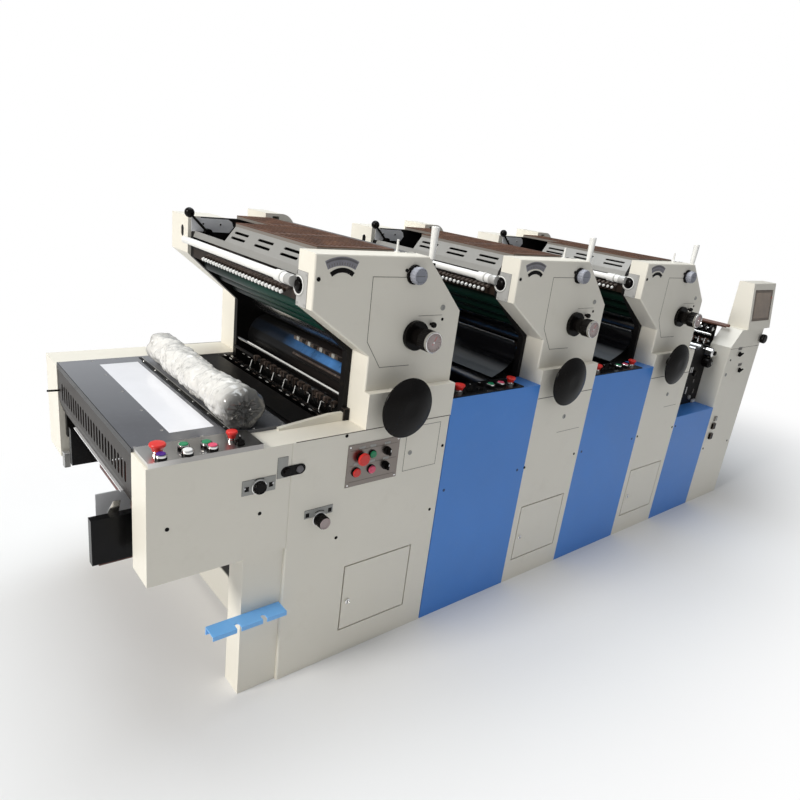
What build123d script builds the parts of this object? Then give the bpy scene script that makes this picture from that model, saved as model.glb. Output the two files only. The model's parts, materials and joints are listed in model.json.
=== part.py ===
from build123d import *
import os
from math import cos, radians, sin

os.makedirs("parts", exist_ok=True)

# A three-colour sheet-fed offset press with its delivery at the -X end and its feeder at the +X end.
# The operator stands at -Y. Millimetres, +Z up, origin on the floor under the middle of the press.

# Driving dimensions along the press
TOWERS = 3
CABINET_WIDTH = 348.0          # one tower's cabinet
BRIDGE_WIDTH = 452.0           # the blue cover between two towers
DELIVERY_BAY = 248.0           # how far cabinet 1 reaches ahead of tower 1
LAST_BRIDGE = 394.0            # the blue cover between tower 3 and the feeder
FEEDER_WIDTH = 350.0
DELIVERY_LENGTH = 395.0        # delivery side boxes
PILE_REACH = 85.0              # pile guides stand out past the side boxes
CONSOLE_OVERHANG = 55.0        # the console stands out past the feeder

# Driving dimensions across the press
DEPTH = 1013.0                 # over the covers
WHEEL_REACH = 65.0             # handwheels stand out from the operator face
OPERATOR_COVER = 106.0         # thickness of the operator side housing
DRIVE_COVER = 149.0            # thickness of the gear side housing
FRAME_PLATE = 24.0             # cast side frames just inside the housings

# Driving heights
SHELF = 812.0                  # top of the cabinets and of the delivery side boxes
PLINTH_TOP = 924.0
NECK_TOP = 1031.0              # where the head begins to lean out
NOSE_BOTTOM = 1173.0
HEAD_TOP = 1323.0
CHAMFER_FOOT = 1157.0
BRIDGE_TOP = 868.0
LAST_BRIDGE_TOP = 573.0
DELIVERY_BOTTOM = 481.0
FEEDER_TOP = 995.0

# Tower housing
EDGE_ROUND = 6.0               # bent sheet edges on the operator's side
HEAD_RECESS = 27.0             # the head stands back from the plinth
NOSE_REACH = 204.0             # the nose leans this far ahead of the neck
HEAD_TOP_LENGTH = 393.0
FRAME_LEAD = 18.0              # the cast frame shows this far ahead of the neck
FRAME_INSET = 12.0
FRAME_TOP_INSET = 5.0
FRAME_ROOT = 40.0              # a tower's frame plate starts this far below the long plate's top
ARM_START = 18.0               # the frames' arms start this far behind the delivery's end

# Floor pan and end sheets
PAN_Z = 30.0
PAN_THICK = 12.0
END_SHEET_TOP = 760.0

# Cylinders, rollers and their running fits
SHAFT_RADIUS = 16.0
RUNNING_CLEARANCE = 0.05
MOVING_CLEARANCE = 5.0
SEAT_GAP = 0.3
CYLINDER_RADIUS = 86.0
WHEEL_X = 114.0                # handwheel shaft behind the tower's front face
WHEEL_Z = 883.0
WHEEL_RADIUS = 90.0            # to the middle of its rolled rim
WHEEL_RIM = 10.0
WHEEL_DISH = 14.0
HUB_RADIUS = 27.0
HUB_GAP = 8.0                  # between the plinth and the handwheel hub
IMPRESSION_ANGLE = 66.0        # the impression cylinder lies below and behind the blanket cylinder
INK_ROLLER_RADIUS = 28.0
INK_ROLLER_PITCH = 66.0
INK_ROLLERS = 3
FIRST_INK_ROLLER = 44.0        # along the sloping underside of the nose
INK_ROLLER_DEPTH = 34.0        # their axes lie this far inside the underside

# Ink fountain at the nose
FOUNTAIN_Z = 1180.0
FOUNTAIN_LIP = 34.0
FOUNTAIN_HEIGHT = 62.0
FOUNTAIN_DEPTH = 62.0
FOUNTAIN_WALL = 8.0
KEYS = 26
KEY_MARGIN = 20.0              # clear of the operator side frame
KEY_FAR_MARGIN = 145.0         # clear of the gear side frame
KEY_SHAFT = 4.0
KEY_HEAD = 7.5
KEY_LENGTH = 34.0
KEY_HEAD_LENGTH = 16.0
KEY_Z = 1200.0
FOUNTAIN_ROLLER_RADIUS = 12.0
FOUNTAIN_ROLLER_LEAD = 12.0    # its axis lies this far ahead of the nose
FOUNTAIN_ROLLER_Z = 1237.0
CAP_RADIUS = 16.0
CAP_GAP = 6.0
CAP_LENGTH = 58.0

# Covers over the ink train
SHEET = 3.0
LIP_X = 10.0                   # the cover's lip stands this far behind the nose
LIP_BOTTOM = 1250.0
LIP_TOP = 1270.0
LIP_LEAN = 6.0
LOUVRE_RUN = 37.0
OPEN_FOUNTAIN_END = 240.0      # above the lip the fountain is open this far in from the gear side
LOUVRE_PAIRS = 3
LOUVRE_PAIR_PITCH = 160.0
LOUVRE_LENGTH = 96.0
LOUVRE_GAP = 20.0              # between the two slots of a pair
LOUVRE_HEIGHT = 9.0
GRILLE_THICK = 12.0
GRILLE_END = 115.0             # grille runs back to here from the tower's front face
GRILLE_ROWS = 3
GRILLE_COLUMNS = 13
GRILLE_SLOT = 9.0
GRILLE_WEB = 26.0              # solid rim and cross webs of the grille

# Cream rail that stands on the first cabinet beside the delivery deck
RAIL_START = 8.0
RAIL_LOW = 7.0                 # height at its low end
RAIL_RISE = 170.0              # run of its slanting top
RAIL_HEIGHT = 26.0
RAIL_THICK = 14.0

# Access doors
DOOR_WIDTH = 270.0
DOOR_HEIGHT = 240.0
DOOR_BOTTOM = 101.0
DOOR_THICK = 16.0
DOOR_POCKET = 78.0
FIRST_DOOR_LEFT = -21.0
LATCH_RADIUS = 8.0
LATCH_INSET = 20.0
LATCH_Z = 101.0                # above the door's lower edge
DOOR_PIN_RADIUS = 2.5
DOOR_PIN_INSET = 4.0           # hinge pins stand this far in from the door's edge and face
DOOR_PIN_ENTRY = 6.0           # and enter the cabinet this deep

# Curved guard ahead of towers 2 and 3, hollow towards the tower before it
GUARD_TOP_X = -34.0
GUARD_TOP_Z = 1001.0
GUARD_WAIST_X = -12.0
GUARD_FOOT_X = -64.0
GUARD_FOOT_Z = 847.0
GUARD_CORNER = 54.0            # its near lower corner is cut off slanting
GUARD_CORNER_HEIGHT = 90.0

# Gear side head: a front box, a dip and a rear box, placed from the nose
FRONT_BOX_BOTTOM = 1190.0
FRONT_BOX_TOP = 1318.0
FRONT_BOX_FLAT = 138.0
FRONT_BOX_BEND = 44.0          # run of its curved end
BOX_DIP = 1262.0
REAR_BOX_START = 298.0
REAR_BOX_FLAT = 71.0
REAR_BOX_BEND = 64.0
REAR_BOX_TOP = 1346.0
PEEP_WIDTH = 24.0              # oval hole in the front box
PEEP_HEIGHT = 40.0
PEEP_Z = 1262.0
WINDOW_SIZE = 28.0             # opening in the rear box towards the rollers
WINDOW_Z = 1322.0

# Knobs and levers on the heads
DIAL_X = 168.0
DIAL_Z = 1087.0
DIAL_RADIUS = 46.0
DIAL_THICK = 13.0
PRESSURE_KNOB_RADIUS = 33.0
PRESSURE_KNOB_LENGTH = 78.0
KNOB_NECK = 8.0
KNOB_ROUND = 3.0
REGISTER_X = 137.0
REGISTER_Z = 1270.0
REGISTER_RADIUS = 26.0
REGISTER_LENGTH = 34.0
LEVER_RUN = 43.0               # the lever stands this far behind the head's top edge, on the chamfer
LEVER_Y = 66.0
LEVER_RISE = 14.0              # lever pivot above the chamfer
LEVER_HUB = 9.0
LEVER_EAR = 6.0
GRIP_RADIUS = 12.5
GRIP_LENGTH = 96.0
GRIP_TAPER = 2.0
LEVER_ROD = 4.0
LEVER_PIN = 3.5
CLEVIS_HALF = 9.0
LEVER_LENGTH = 114.0           # above its pivot
BALL_PIVOT_X = -145.0
BALL_PIVOT_Z = 1267.0
BALL_ROD_LENGTH = 94.0
BALL_ROD_ANGLE = 136.0
BALL_ROD_RADIUS = 4.5
BALL_RADIUS = 17.0
BALL_HUB = 14.0
BALL_HUB_THICK = 18.0
PIN_RADIUS = 6.0

# Button trays on the blue covers
TRAY_THICK = 5.0
TRAY_LENGTH = 360.0
TRAY_MARGIN = 3.0

# Delivery
COVER_TOP = 822.0
COVER_REACH = 40.0             # the dark cover runs on past the side boxes
WINDOW_START = 116.0
WINDOW_LENGTH = 124.0
WINDOW_MARGIN = 62.0
WINDOW_THICK = 5.0
SLOT_PLACE = 16.0              # the slot's middle lies this far behind the window
SLOT_WIDTH = 9.0
PANEL_INSET = 2.0
VENT_BOTTOM = 650.0
VENT_FOLD_HEIGHT = 40.0        # the panel's foot is folded inwards
VENT_FOLD = 12.0
VENT_Z = 735.0
VENT_MARGIN = 84.0
VENT_SLOTS = 24
VENT_SLOT_WIDTH = 15.0
VENT_SLOT_HEIGHT = 60.0
ARM_BOTTOM = 560.0
ARM_TOP = 806.0
DECK_THICK = 4.0
STRIP_START = 75.0
STRIP_WIDTH = 90.0
GRIPPER_BARS = 2
FIRST_GRIPPER = 196.0
GRIPPER_PITCH = 76.0
GRIPPER_WIDTH = 11.0
TIE_LEAD = 8.0                 # round tie bar just ahead of tower 1
TIE_Z = 878.0
TIE_RADIUS = 6.0
LEG_WIDTH = 126.0
LEG_DEPTH = 84.0
LEG_INSET = 11.0
GUIDE_THICK = 25.0
GUIDE_BOTTOM = 477.0
GUIDE_HEIGHT = 133.0
GUIDE_LENGTH = 240.0
GUIDE_INSET = 57.0
FAR_GUIDE_START = 15.0         # the far guide stays behind the side boxes' end
ROLL_RADIUS = 55.0             # spare roller wrapped in film, lying across the cover
ROLL_END_ROUND = 14.0
ROLL_NEAR_LEAD = 90.0          # its ends lie this far ahead of cabinet 1
ROLL_FAR_LEAD = 80.0
ROLL_NEAR_Y = 114.0
ROLL_FAR_Y = 785.0
BOARD_TOP = 447.0
BOARD_THICK = 18.0
BOARD_START = 115.0            # behind the side boxes' end
TONGUE_REACH = 52.0            # a tongue of the board reaches out past the side boxes
TONGUE_Y = 228.0
TONGUE_WIDTH = 72.0
CARRIER_LEAD = 20.0            # first carrier bar, behind the board's front edge
CARRIER_WIDTH = 30.0
CARRIER_STRAP = 8.0
CARRIER_THICK = 16.0
GUIDE_ARM_RADIUS = 8.0
BRACKET_Z = 290.0
BRACKET_START = 232.0
BRACKET_LENGTH = 228.0
BRACKET_DEPTH = 52.0
BRACKET_LIP = 14.0
BRACKET_FLANGE = 26.0
BRACKET_NOTCHES = (78.0, 158.0)
NOTCH_WIDTH = 14.0
NOTCH_DEPTH = 44.0

# Control plates and push buttons: place along and across, radius
CONTROL_PLATE_INSET = 5.0
CONTROL_PLATE_LENGTH = 302.0
CONTROL_PLATE_THICK = 14.0
BUTTON_HEIGHT = 22.0
DELIVERY_BUTTONS = ((44, 46, 20), (41, 14, 14.5), (110, 49, 14.5), (106, 12, 14.5), (166, 40, 14.5),
                    (172, 16, 14.5), (239, 50, 17), (249, 22, 12))
CABINET_PLATE = (191.0, 387.0, 632.0, 771.0)
CABINET_PLATE_THICK = 2.0
CABINET_BUTTONS = ((241, 724, 20), (282, 730, 13), (338, 731, 13), (226, 679, 13), (283, 679, 13),
                   (337, 682, 13))
TRAY_BUTTONS = ((60, 36, 20), (112, 36, 14), (164, 36, 14), (216, 36, 14), (268, 36, 14), (320, 36, 18))

# Feeder
FEEDER_CHAMFER_X = 82.0
FEEDER_CHAMFER_Z = 90.0
FEEDER_FRAME_TOP = 872.0
CONSOLE_WIDTH = 270.0
CONSOLE_HEIGHT = 240.0
CONSOLE_FOOT_REACH = 4.0       # the console's foot stands ahead of the operator face
CONSOLE_LEAN = 34.0
CONSOLE_DEPTH = 109.0
SCREEN_SINK = 6.0
SCREEN_MARGIN = 24.0           # frame left around the screen on both sides
SCREEN_HEIGHT = 164.0
SCREEN_FOOT = 44.0             # frame below the screen
FEED_ROLLERS = ((-300.0, 856.0, 22.0), (-230.0, 862.0, 12.0), (-170.0, 866.0, 18.0), (-100.0, 868.0, 12.0),
                (-40.0, 872.0, 20.0))      # place from the feeder's front, height, radius
FEED_TABLE_Z = 870.0
FEED_TABLE_THICK = 16.0
FEED_TIE_Z = 200.0
FEED_TIE_HEIGHT = 60.0
FEED_TIE_WIDTH = 30.0

# Places worked out from the sizes above
PITCH = CABINET_WIDTH + BRIDGE_WIDTH
BODY_LENGTH = DELIVERY_BAY + TOWERS * PITCH - BRIDGE_WIDTH + LAST_BRIDGE + FEEDER_WIDTH
FRONT_REACH = PILE_REACH + DELIVERY_LENGTH
BODY_START = FRONT_REACH - (FRONT_REACH + BODY_LENGTH + CONSOLE_OVERHANG) / 2
FEEDER_START = BODY_START + BODY_LENGTH - FEEDER_WIDTH
OPERATOR_FACE = WHEEL_REACH - (DEPTH + WHEEL_REACH) / 2
DRIVE_FACE = OPERATOR_FACE + DEPTH
OPERATOR_INNER = OPERATOR_FACE + OPERATOR_COVER
DRIVE_INNER = DRIVE_FACE - DRIVE_COVER
INSIDE_NEAR = OPERATOR_INNER + FRAME_PLATE
INSIDE_FAR = DRIVE_INNER - FRAME_PLATE
INSIDE_MIDDLE = (OPERATOR_INNER + DRIVE_INNER) / 2
HEAD_FACE = OPERATOR_FACE + HEAD_RECESS
COVER_Z = HEAD_TOP - FRAME_TOP_INSET
LOUVRE_FAR = INSIDE_FAR - OPEN_FOUNTAIN_END
DELIVERY_END = BODY_START - DELIVERY_LENGTH
TOWER_X = [BODY_START + DELIVERY_BAY + number * PITCH for number in range(TOWERS)]


def save(builder, name):
    """Label a finished piece and write it under its own name."""
    builder.part.label = name
    export_step(builder.part, f"parts/{name}.step")


def side_plane(y):
    """Plane at y whose sketches are drawn in X and Z and extruded towards the operator."""
    return Plane.XZ.offset(-y)


def turning_plane(x, z):
    """Plane through an axis parallel to Y: sketch x is the radius, sketch y is the place along Y."""
    return Plane(origin=(x, 0, z), x_dir=(1, 0, 0), z_dir=(0, 0, 1))


def y_axis(x, z):
    return Axis((x, 0, z), (0, 1, 0))


def slab(x0, x1, y0, y1, z0, z1):
    """Add a rectangular block between two corners to the part being built."""
    with BuildSketch(Plane.XY.offset(z0)) as plan:
        with Locations(((x0 + x1) / 2, (y0 + y1) / 2)):
            Rectangle(x1 - x0, y1 - y0)
    extrude(plan.sketch, amount=z1 - z0)


def rod(x, z, y0, y1, radius, mode=Mode.ADD):
    """Add (or cut) a round bar parallel to Y."""
    with BuildSketch(side_plane(y1)) as section:
        with Locations((x, z)):
            Circle(radius)
    extrude(section.sketch, amount=y1 - y0, mode=mode)


def side_profile(points, y0, y1, rounding=0.0):
    """Add a plate with an outline in X and Z, standing between y0 and y1."""
    with BuildSketch(side_plane(y1)) as outline:
        with BuildLine():
            Polyline(*points, close=True)
        make_face()
        if rounding > 0:
            fillet(outline.vertices(), radius=rounding)
    extrude(outline.sketch, amount=y1 - y0)


def upright(x, y, z0, z1, radius, mode=Mode.ADD):
    """Add (or cut) a round bar parallel to Z."""
    with BuildSketch(Plane.XY.offset(z0)) as section:
        with Locations((x, y)):
            Circle(radius)
    extrude(section.sketch, amount=z1 - z0, mode=mode)


def round_front_edges(builder, y, direction):
    """Round the edges along one direction that lie in the face at y."""
    edges = [edge for edge in builder.edges().filter_by(direction) if abs(edge.center().Y - y) < 0.01]
    fillet(edges, radius=EDGE_ROUND)


def cabinet_span(number):
    """Left and right edge of a tower's cabinet. The first one also reaches under the delivery bay."""
    left = BODY_START if number == 0 else TOWER_X[number]
    return left, TOWER_X[number] + CABINET_WIDTH


def door_span(number):
    """Left and right edge of a tower's access door."""
    left = TOWER_X[number] + (FIRST_DOOR_LEFT if number == 0 else (CABINET_WIDTH - DOOR_WIDTH) / 2)
    return left, left + DOOR_WIDTH


def bridge_spans():
    """Left and right edge of the covers between the towers and before the feeder."""
    starts = [x + CABINET_WIDTH for x in TOWER_X]
    ends = TOWER_X[1:] + [FEEDER_START]
    return list(zip(starts, ends))


# Operator side cabinets, each with a pocket behind its access door
pin_foot = DOOR_BOTTOM - MOVING_CLEARANCE - DOOR_PIN_ENTRY
pin_top = DOOR_BOTTOM + DOOR_HEIGHT + MOVING_CLEARANCE + DOOR_PIN_ENTRY
for number in range(TOWERS):
    left, right = cabinet_span(number)
    door_left, door_right = door_span(number)
    with BuildPart() as cabinet:
        slab(left, right, OPERATOR_FACE, OPERATOR_INNER, 0, SHELF)
        if number == 0:
            round_front_edges(cabinet, OPERATOR_FACE, Axis.Z)
            rail_left, rail_right, rail_top = left + RAIL_START, TOWER_X[0] - SEAT_GAP, SHELF + RAIL_HEIGHT
            side_profile([(rail_left, SHELF), (rail_left, SHELF + RAIL_LOW), (rail_left + RAIL_RISE, rail_top),
                          (rail_right, rail_top), (rail_right, SHELF)], OPERATOR_INNER - RAIL_THICK, OPERATOR_INNER)
        with BuildSketch(side_plane(OPERATOR_FACE)):
            with Locations(((door_left + door_right) / 2, DOOR_BOTTOM + DOOR_HEIGHT / 2)):
                Rectangle(DOOR_WIDTH + 2 * MOVING_CLEARANCE, DOOR_HEIGHT + 2 * MOVING_CLEARANCE)
        extrude(amount=-DOOR_POCKET, mode=Mode.SUBTRACT)
        upright(door_right - DOOR_PIN_INSET, OPERATOR_FACE + DOOR_PIN_INSET, pin_foot - SEAT_GAP,
                pin_top + SEAT_GAP, DOOR_PIN_RADIUS + RUNNING_CLEARANCE, Mode.SUBTRACT)
    save(cabinet, f"operator_cabinet_{number + 1}")

    # The door lies flush in the pocket's mouth and turns on two pins near its +X edge
    with BuildPart() as door:
        slab(door_left, door_right, OPERATOR_FACE, OPERATOR_FACE + DOOR_THICK,
             DOOR_BOTTOM, DOOR_BOTTOM + DOOR_HEIGHT)
        rod(door_left + LATCH_INSET, DOOR_BOTTOM + LATCH_Z, OPERATOR_FACE - SHEET, OPERATOR_FACE, LATCH_RADIUS)
        upright(door_right - DOOR_PIN_INSET, OPERATOR_FACE + DOOR_PIN_INSET, pin_foot, pin_top,
                DOOR_PIN_RADIUS)
    save(door, f"access_door_{number + 1}")

# Operator side heads: a plinth with the leaning head on it, bored for the handwheel shaft
for number, front in enumerate(TOWER_X):
    back = front + CABINET_WIDTH
    head_outline = [(front, SHELF), (front, NECK_TOP), (front - NOSE_REACH, NOSE_BOTTOM),
                    (front - NOSE_REACH, HEAD_TOP), (front - NOSE_REACH + HEAD_TOP_LENGTH, HEAD_TOP),
                    (back, CHAMFER_FOOT), (back, SHELF)]
    with BuildPart() as head:
        side_profile(head_outline, HEAD_FACE, OPERATOR_INNER)
        fillet(head.faces().sort_by(Axis.Y)[0].edges(), radius=EDGE_ROUND)
        slab(front, back, OPERATOR_FACE, OPERATOR_INNER, SHELF, PLINTH_TOP)
        rod(front + WHEEL_X, WHEEL_Z, OPERATOR_FACE, OPERATOR_INNER,
            SHAFT_RADIUS + RUNNING_CLEARANCE, mode=Mode.SUBTRACT)
    save(head, f"operator_head_{number + 1}")

# Gear side covers: each tower's cabinet and, on it, a head with a front box and a rear box
with BuildPart() as drive_covers:
    for number, front in enumerate(TOWER_X):
        left, right = cabinet_span(number)
        nose = front - NOSE_REACH
        front_flat = nose + FRONT_BOX_FLAT
        rear_flat = nose + REAR_BOX_START + REAR_BOX_FLAT
        slab(left, right, DRIVE_INNER, DRIVE_FACE, 0, SHELF)
        with BuildSketch(side_plane(DRIVE_FACE)) as head_outline:
            with BuildLine():
                Polyline((right, CHAMFER_FOOT), (right, SHELF), (front, SHELF), (front, NECK_TOP),
                         (nose, FRONT_BOX_BOTTOM), (nose, FRONT_BOX_TOP), (front_flat, FRONT_BOX_TOP))
                EllipticalCenterArc((front_flat, BOX_DIP), FRONT_BOX_BEND, FRONT_BOX_TOP - BOX_DIP,
                                    start_angle=0, arc_size=90)
                Polyline((front_flat + FRONT_BOX_BEND, BOX_DIP), (nose + REAR_BOX_START, BOX_DIP),
                         (nose + REAR_BOX_START, REAR_BOX_TOP), (rear_flat, REAR_BOX_TOP))
                EllipticalCenterArc((rear_flat, BOX_DIP), REAR_BOX_BEND, REAR_BOX_TOP - BOX_DIP,
                                    start_angle=0, arc_size=90)
                Line((rear_flat + REAR_BOX_BEND, BOX_DIP), (right, CHAMFER_FOOT))
            make_face()
        extrude(head_outline.sketch, amount=DRIVE_COVER)
        with BuildSketch(Plane.YZ.offset(nose)) as peep_hole:
            with Locations(((DRIVE_INNER + DRIVE_FACE) / 2 - PEEP_WIDTH, PEEP_Z)):
                SlotOverall(PEEP_HEIGHT, PEEP_WIDTH, rotation=90)
        extrude(peep_hole.sketch, amount=FRONT_BOX_FLAT / 2, mode=Mode.SUBTRACT)
        with BuildSketch(side_plane(DRIVE_INNER)) as window:
            with Locations((rear_flat - WINDOW_SIZE, WINDOW_Z)):
                Rectangle(WINDOW_SIZE, WINDOW_SIZE)
        extrude(window.sketch, amount=-DRIVE_COVER / 2, mode=Mode.SUBTRACT)
save(drive_covers, "drive_covers")

# Blue covers between the towers on both sides, with a black button tray on the first two
with BuildPart() as bridge_panels:
    for left, right in bridge_spans():
        top = LAST_BRIDGE_TOP if right == FEEDER_START else BRIDGE_TOP
        slab(left, right, OPERATOR_FACE, OPERATOR_INNER, 0, top)
        slab(left, right, DRIVE_INNER, DRIVE_FACE, 0, BRIDGE_TOP)
save(bridge_panels, "bridge_panels")

with BuildPart() as button_trays:
    for left, right in bridge_spans()[:-1]:
        slab(left + TRAY_MARGIN, left + TRAY_LENGTH, OPERATOR_FACE + TRAY_MARGIN,
             OPERATOR_INNER - TRAY_MARGIN, BRIDGE_TOP, BRIDGE_TOP + TRAY_THICK)
save(button_trays, "button_trays")

# Cast side frames carry the cylinders and reach forward under the delivery
for name, y0, y1 in (("operator_side_frame", OPERATOR_INNER, INSIDE_NEAR),
                     ("drive_side_frame", INSIDE_FAR, DRIVE_INNER)):
    with BuildPart() as frame:
        side_profile([(DELIVERY_END + ARM_START, ARM_BOTTOM), (BODY_START, ARM_BOTTOM), (BODY_START, 0),
                      (FEEDER_START, 0), (FEEDER_START, FEEDER_FRAME_TOP),
                      (FEEDER_START - LAST_BRIDGE, FEEDER_FRAME_TOP), (FEEDER_START - LAST_BRIDGE, ARM_TOP),
                      (DELIVERY_END + ARM_START, ARM_TOP)], y0, y1)
        for front in TOWER_X:
            nose = front - NOSE_REACH + FRAME_INSET
            back = front + CABINET_WIDTH - FRAME_INSET
            crest = front - NOSE_REACH + HEAD_TOP_LENGTH
            side_profile([(front - FRAME_LEAD, ARM_TOP - FRAME_ROOT),
                          (front - FRAME_LEAD, NECK_TOP - EDGE_ROUND),
                          (nose, NOSE_BOTTOM + EDGE_ROUND), (nose, LIP_BOTTOM + FRAME_INSET),
                          (front - NOSE_REACH + LIP_X + LOUVRE_RUN, COVER_Z), (crest - EDGE_ROUND, COVER_Z),
                          (back, CHAMFER_FOOT - EDGE_ROUND), (back, ARM_TOP - FRAME_ROOT)], y0, y1)
            rod(front + WHEEL_X, WHEEL_Z, y0, y1, SHAFT_RADIUS + RUNNING_CLEARANCE, mode=Mode.SUBTRACT)
            if name == "drive_side_frame":
                rod(front + BALL_PIVOT_X, BALL_PIVOT_Z, y0, y1, PIN_RADIUS + RUNNING_CLEARANCE, Mode.SUBTRACT)
    save(frame, name)

# Floor pan and end sheets tie the two frames together
with BuildPart() as base_frame:
    slab(BODY_START, FEEDER_START, INSIDE_NEAR, INSIDE_FAR, PAN_Z, PAN_Z + PAN_THICK)
    for x in (BODY_START, FEEDER_START - PAN_THICK):
        slab(x, x + PAN_THICK, INSIDE_NEAR, INSIDE_FAR, PAN_Z + PAN_THICK, END_SHEET_TOP)
save(base_frame, "base_frame")

# Blanket cylinders on the handwheel shafts, and the handwheels
for number, front in enumerate(TOWER_X):
    x = front + WHEEL_X
    with BuildPart() as blanket_cylinder:
        rod(x, WHEEL_Z, INSIDE_NEAR + MOVING_CLEARANCE, INSIDE_FAR - MOVING_CLEARANCE, CYLINDER_RADIUS)
        rod(x, WHEEL_Z, OPERATOR_FACE - HUB_GAP, DRIVE_INNER, SHAFT_RADIUS)
    save(blanket_cylinder, f"blanket_cylinder_{number + 1}")

    rim_front = OPERATOR_FACE - WHEEL_REACH
    rim_back = rim_front + WHEEL_DISH + WHEEL_RIM
    hub_back = OPERATOR_FACE - HUB_GAP
    with BuildPart() as handwheel:
        with BuildSketch(turning_plane(x, WHEEL_Z)):
            with BuildLine():
                Polyline((0, rim_front), (HUB_RADIUS, rim_front))
                ThreePointArc((HUB_RADIUS, rim_front),
                              ((HUB_RADIUS + WHEEL_RADIUS) / 2, rim_front + WHEEL_DISH * 0.3),
                              (WHEEL_RADIUS, rim_front + WHEEL_DISH))
                ThreePointArc((WHEEL_RADIUS, rim_front + WHEEL_DISH),
                              (WHEEL_RADIUS + WHEEL_RIM / 2, rim_back - WHEEL_RIM / 2),
                              (WHEEL_RADIUS, rim_back))
                Polyline((WHEEL_RADIUS, rim_back), (HUB_RADIUS, rim_front + WHEEL_DISH),
                         (HUB_RADIUS, hub_back), (0, hub_back), (0, rim_front))
            make_face()
        revolve(axis=y_axis(x, WHEEL_Z))
    save(handwheel, f"handwheel_{number + 1}")

# Plate cylinders above and impression cylinders below the blanket cylinders
cylinder_centres = 2 * CYLINDER_RADIUS + MOVING_CLEARANCE
impression_run = cylinder_centres * cos(radians(IMPRESSION_ANGLE))
impression_drop = cylinder_centres * sin(radians(IMPRESSION_ANGLE))
with BuildPart() as press_cylinders:
    for front in TOWER_X:
        x = front + WHEEL_X
        rod(x, WHEEL_Z + cylinder_centres, INSIDE_NEAR, INSIDE_FAR, CYLINDER_RADIUS)
        rod(x + impression_run, WHEEL_Z - impression_drop, INSIDE_NEAR, INSIDE_FAR, CYLINDER_RADIUS)
save(press_cylinders, "press_cylinders")

# Green ink rollers lie along the sloping underside of the nose
slope = (Vector(-NOSE_REACH, 0, NOSE_BOTTOM - NECK_TOP)).normalized()
inward = Vector(slope.Z, 0, -slope.X)
with BuildPart() as ink_rollers:
    for front in TOWER_X:
        for step in range(INK_ROLLERS):
            along = slope * (FIRST_INK_ROLLER + step * INK_ROLLER_PITCH)
            centre = Vector(front, 0, NECK_TOP) + along + inward * INK_ROLLER_DEPTH
            rod(centre.X, centre.Z, INSIDE_NEAR, INSIDE_FAR, INK_ROLLER_RADIUS)
save(ink_rollers, "ink_rollers")

# Ink fountains with their row of keys, and the fountain rollers ahead of them
with BuildPart() as ink_fountains:
    for front in TOWER_X:
        x = front - NOSE_REACH + FRAME_INSET
        side_profile([(x, FOUNTAIN_Z), (x, FOUNTAIN_Z + FOUNTAIN_LIP),
                      (x + FOUNTAIN_WALL, FOUNTAIN_Z + FOUNTAIN_LIP),
                      (x + FOUNTAIN_WALL * 2, FOUNTAIN_Z + FOUNTAIN_WALL * 2),
                      (x + FOUNTAIN_DEPTH, FOUNTAIN_Z + FOUNTAIN_HEIGHT),
                      (x + FOUNTAIN_DEPTH + FOUNTAIN_WALL, FOUNTAIN_Z + FOUNTAIN_HEIGHT),
                      (x + FOUNTAIN_DEPTH * 0.55, FOUNTAIN_Z)], INSIDE_NEAR, INSIDE_FAR)
save(ink_fountains, "ink_fountains")

key_pitch = (INSIDE_FAR - INSIDE_NEAR - KEY_MARGIN - KEY_FAR_MARGIN) / KEYS
key_row = [INSIDE_NEAR + KEY_MARGIN + key_pitch * (key + 0.5) for key in range(KEYS)]
with BuildPart() as ink_keys:
    for front in TOWER_X:
        x = front - NOSE_REACH + FRAME_INSET
        for start, length, radius in ((0, KEY_LENGTH - KEY_HEAD_LENGTH, KEY_SHAFT),
                                      (KEY_LENGTH - KEY_HEAD_LENGTH, KEY_HEAD_LENGTH, KEY_HEAD)):
            with BuildSketch(Plane.YZ.offset(x - start)) as key_sections:
                with Locations(*[(y, KEY_Z) for y in key_row]):
                    Circle(radius)
            extrude(key_sections.sketch, amount=-length)
save(ink_keys, "ink_keys")

with BuildPart() as fountain_rollers:
    for front in TOWER_X:
        x = front - NOSE_REACH - FOUNTAIN_ROLLER_LEAD
        rod(x, FOUNTAIN_ROLLER_Z, INSIDE_NEAR + CAP_GAP, DRIVE_INNER, FOUNTAIN_ROLLER_RADIUS)
        rod(x, FOUNTAIN_ROLLER_Z, INSIDE_NEAR + CAP_GAP, INSIDE_NEAR + CAP_GAP + CAP_LENGTH, CAP_RADIUS)
save(fountain_rollers, "fountain_rollers")

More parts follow.
